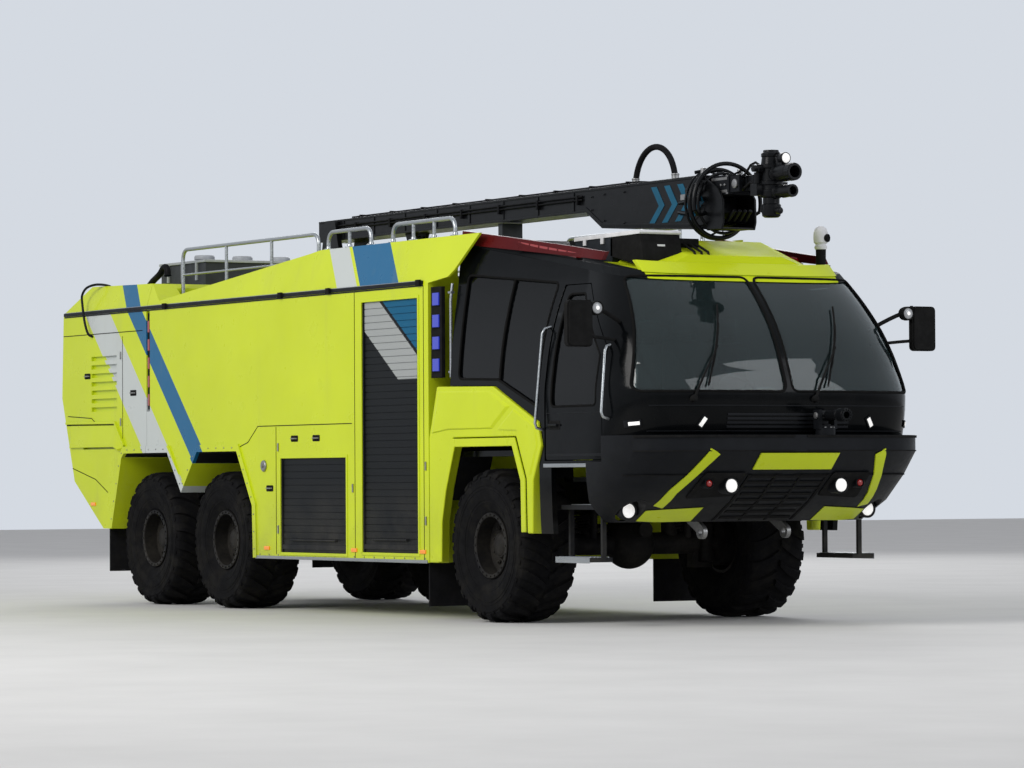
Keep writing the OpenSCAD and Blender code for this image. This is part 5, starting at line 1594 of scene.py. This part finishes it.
def pillow(size, crown, cuts=10):
    """A crowned cushion about its own middle, its sides drawn in between the corners."""
    made = bmesh.new()
    bmesh.ops.create_cube(made, size=1.0)
    bmesh.ops.subdivide_edges(made, edges=made.edges, cuts=cuts, use_grid_fill=True)
    for v in made.verts:
        x, y, z = (2 * c for c in v.co)
        px, py, pz = (math.copysign(abs(c) ** 0.9, c) for c in (x, y, z))
        r = (abs(px)**5 + abs(py)**5 + abs(pz)**5) ** 0.2
        shape = Vector((px, py, pz)) / max(r, 1e-6) * max(abs(px), abs(py), abs(pz))
        sx = 1 - DRAW * (1 - shape.y**2) * (1 if abs(x) > 0.99 else 0.4 * abs(shape.x))
        sy = 1 - DRAW * (1 - shape.x**2) * (1 if abs(y) > 0.99 else 0.4 * abs(shape.y))
        bulge = 1.0 + crown * (1 - shape.x**2) * (1 - shape.y**2) * (1 if z > 0 else 0.1)
        v.co = Vector((shape.x * sx * size[0] / 2, shape.y * sy * size[1] / 2, shape.z * bulge * size[2] / 2))
    data = bpy.data.meshes.new("pillow")
    for face in made.faces:
        face.smooth = True
    made.to_mesh(data)
    made.free()
    return data


def places_of(data):
    return np.array([v.co[:] for v in data.vertices])


def puffed(data, cap, voxel=0.012):
    """The cushion after its cover is blown up in a cloth simulation, with each point's move capped."""
    holder = bpy.data.objects.new("puff", data)
    scene.collection.objects.link(holder)
    remesh = holder.modifiers.new("remesh", "REMESH")
    remesh.mode = "VOXEL"
    remesh.voxel_size = voxel
    bpy.context.view_layer.update()
    graph = bpy.context.evaluated_depsgraph_get()
    even = bpy.data.meshes.new_from_object(holder.evaluated_get(graph))
    holder.modifiers.clear()
    holder.data = even
    before = places_of(even)
    cloth_mod = holder.modifiers.new("cloth", "CLOTH")
    cloth_mod.settings.use_pressure = True
    cloth_mod.settings.uniform_pressure_force = 4.0
    cloth_mod.settings.effector_weights.gravity = 0.0
    cloth_mod.settings.quality = 4
    for number in range(1, 13):
        scene.frame_set(number)
    graph = bpy.context.evaluated_depsgraph_get()
    after = bpy.data.meshes.new_from_object(holder.evaluated_get(graph))
    moved = places_of(after) - before
    long = np.linalg.norm(moved, axis=1, keepdims=True)
    moved *= np.minimum(1.0, cap / np.maximum(long, 1e-9))
    for v, place in zip(after.vertices, before + moved):
        v.co = place
    for face in after.polygons:
        face.use_smooth = True
    bpy.data.objects.remove(holder)
    scene.frame_set(1)
    return after


# Each cushion of a seat: its mesh, its place above the seat's foot and its tilt
CUSHIONS = (
    ("cushion", puffed(pillow((0.485, 0.505, 0.115), 0.22), 0.008), (0.0, 0.0, 0.318), 0.0),
    ("back", puffed(pillow((0.60, 0.48, 0.092), 0.25), 0.007), (-0.270, 0.0, 0.690), -math.pi / 2),
    ("headrest", puffed(pillow((0.165, 0.245, 0.068), 0.20), 0.005, 0.010), (-0.278, 0.0, 1.112),
     -math.pi / 2),
)
seat_frames, belts = Form(), Form()
for number, (x, y) in enumerate(SEATS):
    place = Vector((x, y, FLOOR_Z))

    def seat_slab(outline, low, high):
        seat_frames.slab([(x + dx, FLOOR_Z + dz) for dx, dz in outline], y + low, y + high)

    seat_slab([(-0.17, 0.002), (0.17, 0.002), (0.15, 0.24), (-0.15, 0.24)], -0.17, 0.17)
    seat_slab([(-0.24, 0.235), (0.235, 0.235), (0.235, 0.262), (-0.24, 0.262)], -0.245, 0.245)
    seat_slab([(-0.328, 0.36), (-0.312, 0.36), (-0.312, 0.96), (-0.328, 0.96)], -0.22, 0.22)
    for dy in (-0.07, 0.07):
        seat_frames.rod(place + Vector((-0.285, dy, 0.93)), place + Vector((-0.285, dy, 1.06)), 0.008,
                        steps=10)
    for dy in (-0.235, 0.235):
        seat_slab([(-0.30, 0.24), (-0.20, 0.24), (-0.24, 0.47), (-0.30, 0.47)], dy - 0.008, dy + 0.008)
    belts.bar([place + Vector(p) for p in ((-0.214, -0.19, 0.95), (-0.205, -0.05, 0.72),
                                           (-0.200, 0.14, 0.46))],
              0.046, 0.004, (1, 0, 0.1))
    for name, data, shift, tilt in CUSHIONS:
        pad = show(data.copy(), f"seat_{name}_{number}", "seat", weighted=False)
        pad.data.transform(Matrix.Translation(place + Vector(shift)) @ Matrix.Rotation(tilt, 4, "Y"))
piece(seat_frames, "seat_frames", "dash", node="seats", bevel=0.004)
piece(belts, "seat_belts", "seam")


# Back of the body: louvre frames, doors, handles and tow gear


def on_back(z, y, out):
    return (back_x(z) - out, y, z)


def back_strip(form, path, wide=0.008, out=0.003, parts=None):
    """A raised line on the back face through (y, z) points."""
    for (y0, z0), (y1, z1) in zip(path, path[1:]):
        long = math.hypot(y1 - y0, z1 - z0)
        ny, nz = -(z1 - z0) / long, (y1 - y0) / long
        form.sheet((-wide / 2, wide / 2), spread(0.0, 1.0, parts or max(2, int(long / 0.06))),
                   lambda off, t, o: on_back(z0 + (z1 - z0) * t + nz * off, y0 + (y1 - y0) * t + ny * off, o),
                   out)


blades = Form()
# A slanting blade in each slot of the back face
for k in range(7):
    z = 1.90 + 0.09 * k
    x = back_x(z + 0.02)
    blades.slab([(x + 0.065, z + 0.010), (x + 0.012, z + 0.030), (x + 0.012, z + 0.034),
                 (x + 0.065, z + 0.014)],
                -0.62, 0.62)
louvre_frame = Form()
back_strip(louvre_frame, [(-0.66, 1.86), (0.66, 1.86), (0.66, 2.53), (-0.66, 2.53), (-0.66, 1.86)], 0.028,
           0.008, 8)
piece(louvre_frame, "rear_louvre_frame", "yellow", bevel=0.003)
piece(blades, "rear_louvre_blades", "seam")

rear_lines = Form()
back_strip(rear_lines, [(-1.46, 2.62), (1.46, 2.62)], 0.009)
for path in (
    [(-1.30, 1.84), (-0.70, 1.84), (-0.70, 2.60)], [(1.30, 1.84), (0.70, 1.84), (0.70, 2.60)],
    [(-1.02, 1.44), (-1.02, 0.98)], [(1.02, 1.44), (1.02, 0.98)], [(-1.02, 1.44), (1.02, 1.44)],
    [(0.0, 2.62), (0.0, 3.02)],
):
    back_strip(rear_lines, path)
piece(rear_lines, "rear_panel_lines", "seam")

slants = (Form(), Form())
for k in range(6):
    for s in BOTH:
        slants[k % 2].sheet(((2.68, 0.0), (2.90, 0.10)), (0.0, 0.20),
                            lambda row, t, out: on_back(row[0], s * (0.12 + 0.22 * k + t + row[1]), out),
                            0.0022)
piece(slants[0], "rear_chevrons_blue", "stripe_blue")
piece(slants[1], "rear_chevrons_silver", "silver")

catches = Form()
# Handles beside the louvres and on the lower doors
for y, z in ((0.80, 2.22), (0.94, 1.20)):
    for s in BOTH:
        catches.tube([on_back(z, s * y + dy, out) for dy, out in
                      ((-0.05, -0.004), (-0.045, 0.028), (0.045, 0.028), (0.05, -0.004))], 0.008, 8)
# Bezel round the tail lamps
for z in (1.488, 1.758):
    catches.pair.box((back_x(z) - 0.010, 1.085, z), (back_x(z) + 0.02, 1.295, z + 0.014))
for y in (1.078, 1.288):
    catches.pair.slab([(back_x(z) + dx, z) for z, dx in
                       ((1.488, -0.010), (1.488, 0.02), (1.772, 0.02), (1.772, -0.010))], y, y + 0.014)
# Grab rail on each rear corner
catches.pair.tube([on_back(z, 1.42, out) for z, out in
                   ((1.86, 0.0), (1.88, 0.05), (1.95, 0.065), (2.45, 0.065), (2.52, 0.05), (2.54, 0.0))],
                  0.012, 10)
# Pipes with caps, low at the back
PIPE_Z = 1.18
x = back_x(PIPE_Z)
for y in (-0.36, -0.14, 0.14, 0.36):
    catches.turned([(0.066, -0.02), (0.066, 0.02), (0.058, 0.028), (0.058, 0.075), (0.064, 0.080),
                    (0.064, 0.10),
                    (0.0, 0.104)], (x, y, PIPE_Z), (-1, 0, -0.3), 28)
    for dy in (-0.062, 0.062):
        catches.box((x - 0.115, y + dy - 0.012, PIPE_Z - 0.05), (x - 0.075, y + dy + 0.012, PIPE_Z - 0.02))
piece(catches, "rear_fittings", "steel", slot="tow_steel", bevel=0.002, sharp=40)


# Sides: handles, hinges, caps and bolts

side_bits, dishes = Form(), Form()
for x, z in ((-0.14, 1.68), (-0.60, 1.68), (-1.14, 1.20), (-4.33, 2.20), (-5.50, 2.40)):
    side_bits.pair.tube([(x + dx, BODY_Y + out, z) for dx, out in
                         ((-0.05, -0.004), (-0.045, 0.020), (0.045, 0.020), (0.05, -0.004))], 0.007, 8)
    dishes.pair.slab(plate((x - 0.075, z - 0.03), (x + 0.075, z + 0.03), 0.015), BODY_Y - 0.002,
                     BODY_Y + 0.003)
for x, z in ((-0.95, 0.80), (-0.95, 1.60), (0.62, 1.20), (-4.64, 2.60), (-4.64, 1.90), (2.06, 0.90),
             (2.06, 1.40)):
    side_bits.pair.rod((x, BODY_Y + 0.006, z - 0.04), (x, BODY_Y + 0.006, z + 0.04), 0.009, steps=10,
                       ease=0.002)
# Filler cap and outlets low on the tank side
side_bits.pair.turned([(0.055, -0.004), (0.055, 0.014), (0.048, 0.020), (0.0, 0.020)], (-1.26, BODY_Y, 1.42),
                      LEFT, 28)
side_bits.pair.turned([(0.020, 0.018), (0.016, 0.034), (0.0, 0.034)], (-1.26, BODY_Y, 1.42), LEFT, 6)
# Bolts along the lower edge and round the arch lips
for x in spread(-1.36, 2.04, 18):
    side_bits.pair.turned([(0.008, -0.002), (0.008, 0.005), (0.0, 0.007)], (x, BODY_Y, 0.555), LEFT, 6)
for (x0, z0), (x1, z1) in zip(REAR_ARCH, REAR_ARCH[1:]):
    long = math.dist((x0, z0), (x1, z1))
    parts = max(1, int(long / 0.16))
    ax, az = x1 - x0, z1 - z0
    for t in ((k + 0.5) / parts for k in range(parts)):
        side_bits.pair.turned([(0.008, 0.010), (0.008, 0.021), (0.0, 0.023)],
                              (x0 + ax * t - az / long * 0.035, BODY_Y, z0 + az * t + ax / long * 0.035),
                              LEFT, 6)
piece(side_bits, "side_fittings", "steel", slot="tow_steel", bevel=0.001, sharp=40)
piece(dishes, "handle_dishes", "seam", bevel=0.001)


# Deck and roof

deck = Form()
grip = Form()
for x0, x1, low, high in ((-3.55, -3.10, 0.40, 1.08), (-1.50, -0.90, 0.46, 1.02), (-0.40, 0.30, 0.36, 1.06),
                          (1.30, 2.00, 0.36, 1.06)):
    for y0, y1 in ((low, high), (-high, -low)):
        deck.slab(plate((x0, y0), (x1, y1), 0.04), DECK_Z, 3.146, "z")
        deck.slab(plate((x0 + 0.05, y0 + 0.05), (x1 - 0.05, y1 - 0.05), 0.03), 3.144, 3.158, "z")
        deck.tube([((x0 + x1) / 2 + dx, (y0 + y1) / 2, z) for dx, z in
                   ((-0.06, 3.156), (-0.055, 3.182), (0.055, 3.182), (0.06, 3.156))], 0.007, 8)
for x0, x1 in ((-3.05, -2.95), (-1.62, -1.56), (0.45, 0.80), (1.12, 1.26), (2.06, 2.50)):
    for y in spread(-1.12, 1.12, 25):
        if abs(y) >= 0.30:
            grip.box((x0, y - 0.012, DECK_Z), (x1, y + 0.012, 3.128))
for x in spread(-3.6, 2.4, 90):
    grip.pair.box((x, 1.165, DECK_Z), (x + 0.035, 1.195, 3.127))
piece(deck, "deck_hatches", "charcoal", bevel=0.004, sharp=40)
piece(grip, "deck_grip", "grey")

top_box = Form()
top_box.box((-5.42, -0.72, 3.585), (-4.28, 0.72, 3.612))
for x in (-5.2, -4.85, -4.5):
    top_box.pair.box((x - 0.02, 0.70, 3.40), (x + 0.02, 0.722, 3.60))
for y in (-0.45, 0.0, 0.45):
    top_box.turned([(0.085, 0.0), (0.085, 0.03), (0.11, 0.04), (0.11, 0.07), (0.10, 0.085), (0.0, 0.09)],
                   (-4.85, y, 3.60), TOP, 28)
for x in (-5.85, -5.65):
    top_box.box((x, -0.9, 3.28), (x + 0.12, 0.9, 3.30))
piece(top_box, "rear_locker_fittings", "grey", bevel=0.004, sharp=40)


# Entry steps, underbody, axle and turret fittings

treads = Form()
for k in range(6):
    y = 1.262 + 0.036 * k
    treads.pair.box((4.32, y, 0.598), (4.85, y + 0.012, 0.606))
    treads.pair.box((4.32, y - 0.13, 1.048), (4.85, y - 0.118, 1.056))
treads.pair.box((4.30, 1.465, 0.552), (4.87, 1.475, 0.604))
piece(treads, "step_treads", "rail", bevel=0.0015)

COIL_STEPS, COIL_TURN = 64, 13
under = Form()
for axle_x in AXLES.values():
    for s in BOTH:
        # Coils round the suspension posts and a damper beside them
        coil = []
        for k in range(COIL_STEPS + 1):
            turn = 2 * math.pi * k / COIL_TURN
            coil.append((axle_x + 0.098 * math.cos(turn), s * 0.49 + 0.098 * math.sin(turn) * 0.55,
                         0.80 + 0.14 * k / COIL_STEPS))
        under.tube(coil, 0.012, 6)
    under.pair.tube([(axle_x + 0.20, 0.50, 0.74), (axle_x + 0.23, 0.50, 1.02)], 0.034, 12)
    under.pair.tube([(axle_x + 0.23, 0.50, 1.02), (axle_x + 0.245, 0.50, 1.20)], 0.022, 10)
    # Brake chamber
    under.pair.turned([(0.055, 0.0), (0.070, 0.01), (0.070, 0.07), (0.055, 0.085), (0.0, 0.088)],
                      (axle_x - 0.16, 0.60, 0.80), (-0.9, 0, 0.35), 20)
# Air tanks between the wheels
TANK_Z = 0.70
for x0, x1 in ((-1.30, -0.55), (-0.45, 0.30), (0.42, 1.05)):
    long = x1 - x0
    dome = [(0.0, 0.0), (0.07, 0.012), (0.105, 0.05), (0.11, 0.09)]
    under.pair.turned(dome + [(r, long - d) for r, d in dome[::-1]], (x0, 0.70, TANK_Z), FRONT, 24)
    for x in (x0 + 0.18, x1 - 0.22):
        under.pair.ring((x, 0.70, TANK_Z), FRONT, 0.112, 0.006, 24, 6)
        under.pair.box((x - 0.02, 0.46, TANK_Z + 0.07), (x + 0.02, 0.62, TANK_Z + 0.30))
piece(under, "underbody_fittings", "frame", sharp=40)

TURRET_Y = 0.30
teeth = Form()
for sin, cos in around(12):
    teeth.rod((6.145, TURRET_Y + 0.044 * cos, 1.805 + 0.044 * sin),
              (6.185, TURRET_Y + 0.048 * cos, 1.805 + 0.048 * sin),
              0.007, steps=8)
teeth.ring((6.168, TURRET_Y, 1.805), FRONT, 0.053, 0.005, 32, 8)
teeth.ring((6.075, TURRET_Y, 1.805), FRONT, 0.054, 0.005, 32, 8)
piece(teeth, "turret_teeth", "boom", "turret_nozzle", sharp=40)
bolts = Form()
for sin, cos in around(8, 0.2):
    bolts.turned([(0.009, 0.0), (0.009, 0.008), (0.0, 0.010)],
                 (5.85 + 0.070 * cos, TURRET_Y + 0.070 * sin, 1.70),
                 TOP, 6)
for s in BOTH:
    bolts.turned([(0.028, 0.0), (0.028, 0.010), (0.018, 0.014), (0.0, 0.014)],
                 (5.85, TURRET_Y + s * 0.092, 1.805),
                 (0, s, 0), 18)
piece(bolts, "turret_bolts", "steel", "turret_base", sharp=40)


# Recess on the rear flank, grab rail over the corner and exhaust on the deck

scoops = Form()
for s in BOTH:
    top = [(-5.95, 1.885), (-4.79, 1.875), (-4.57, 1.635)]
    mid = [(-5.90, 1.70), (-4.86, 1.70), (-4.70, 1.615)]
    low = [(-5.93, 1.640), (-4.80, 1.640), (-4.66, 1.600)]
    rows = ((top, -0.003), (top, 0.003), (mid, 0.030), (low, 0.030), (low, -0.003))
    scoops.rings([[(row[c][0], s * (BODY_Y + out), row[c][1]) for row, out in rows] for c in range(3)])
piece(scoops, "flank_scoops", "yellow", bevel=0.004)
ledges, shade_lines = Form(), Form()
ledges.side_bar([(-6.04, 1.905), (-4.775, 1.895), (-4.545, 1.650)], 0.026, 0.030, BODY_Y - 0.003)
for x in (-3.52, -0.86, 0.16, 1.96):
    shade_lines.pair.box((x - 0.035, BODY_Y + 0.010, 3.050), (x + 0.035, BODY_Y + 0.034, 3.104))
piece(ledges, "flank_ledges", "yellow", bevel=0.005)
# A dark strip just under the ledge: painted shadow of its overhang
shade_lines.side_bar([(-6.04, 1.884), (-4.785, 1.874), (-4.562, 1.638)], 0.012, 0.008, BODY_Y - 0.003)
piece(shade_lines, "flank_shade_lines", "seam")


def smooth_path(points, steps):
    """A curve through all the points."""
    points = [Vector(p) for p in points]
    made = []
    last = len(points) - 1
    for i in range(last):
        before, start, end, after = (points[min(max(i + k, 0), last)] for k in (-1, 0, 1, 2))
        for t in (k / steps for k in range(steps)):
            square = 2 * before - 5 * start + 4 * end - after
            cube = 3 * start - before - 3 * end + after
            made.append(0.5 * (2 * start + (end - before) * t + square * t**2 + cube * t**3))
    return made + [points[-1]]


corner_rails = Form()
for s in BOTH:
    path = [(-5.17, 1.36, 3.30), (-5.20, 1.40, 3.355), (-5.30, 1.50, 3.375), (-5.42, 1.565, 3.345),
            (-5.50, 1.585, 3.27), (-5.50, 1.585, 3.18), (-5.44, 1.585, 2.98), (-5.37, 1.575, 2.85),
            (-5.36, 1.52, 2.82)]
    corner_rails.tube(smooth_path([sided(p, s) for p in path], 6), 0.013, 12)
piece(corner_rails, "corner_grab_rails", "charcoal", slot="rail_metal", sharp=50)

stack = Form()
stack.tube(smooth_path([(-5.10, -1.0, 3.20), (-5.08, -1.0, 3.33), (-4.98, -1.0, 3.40), (-4.80, -1.0, 3.47),
                        (-4.70, -1.0, 3.535), (-4.62, -1.0, 3.53), (-4.60, -1.0, 3.45)], 5), 0.034, 18)
stack.ring((-4.60, -1.0, 3.45), (0.02, 0, -0.08), 0.035, 0.006, 28, 8)
stack.box((-5.18, -1.08, 3.20), (-5.02, -0.92, 3.225))
piece(stack, "exhaust_stack", "frame", bevel=0.002, sharp=40)


# Floor, light and background


def studio():
    ground = bpy.data.objects.new("floor", Form().box((-70, -70, -0.2), (70, 70, 0.0)).mesh("floor"))
    scene.collection.objects.link(ground)
    look = Look("floor_pale", (0.62, 0.62, 0.61), Roughness=0.75)
    shade = look.patches((0.8, 6.0, 0.6), 0.3, 0.7)
    ground.data.materials.append(look.done(look.mix(shade, (0.60, 0.60, 0.59), (0.66, 0.66, 0.65)), None,
                                           look.noise(30.0, 4.0, 0.6), 0.002, 0.3))
    ground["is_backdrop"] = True
    world = bpy.data.worlds.new("world")
    scene.world = world
    world.use_nodes = True
    tree = world.node_tree
    back = tree.nodes["Background"]
    path = tree.nodes.new("ShaderNodeLightPath").outputs
    seen = path["Is Camera Ray"]
    for ray in ("Is Glossy Ray", "Is Transmission Ray"):
        either = tree.nodes.new("ShaderNodeMath")
        either.operation = "MAXIMUM"
        tree.links.new(seen, either.inputs[0])
        tree.links.new(path[ray], either.inputs[1])
        seen = either.outputs[0]
    pick = tree.nodes.new("ShaderNodeMix")
    pick.data_type = "RGBA"
    tree.links.new(seen, pick.inputs[0])
    pick.inputs[6].default_value = (0.46, 0.46, 0.48, 1)
    pick.inputs[7].default_value = (0.66, 0.70, 0.76, 1)
    tree.links.new(pick.outputs[2], back.inputs["Color"])
    back.inputs["Strength"].default_value = 1.0
    for name, place, size, power, color in (
        ("key", (6.0, -24.0, 16.0), 12.0, 4700.0, (1.0, 0.98, 0.95)),
        ("fill", (26.0, 10.0, 12.0), 14.0, 1800.0, (0.95, 0.97, 1.0)),
        ("rim", (-22.0, 14.0, 14.0), 12.0, 1500.0, (1.0, 1.0, 1.0)),
    ):
        lamp = bpy.data.lights.new(name, "AREA")
        lamp.energy = power
        lamp.size = size
        lamp.color = color
        holder = bpy.data.objects.new(name, lamp)
        scene.collection.objects.link(holder)
        holder.location = place
        holder.rotation_euler = (Vector((0, 0, 1.5)) - Vector(place)).to_track_quat("-Z", "Y").to_euler()


studio()
bpy.context.view_layer.update()
[[list(map(float, corner)) for corner in part] for part in (cad_box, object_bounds())]
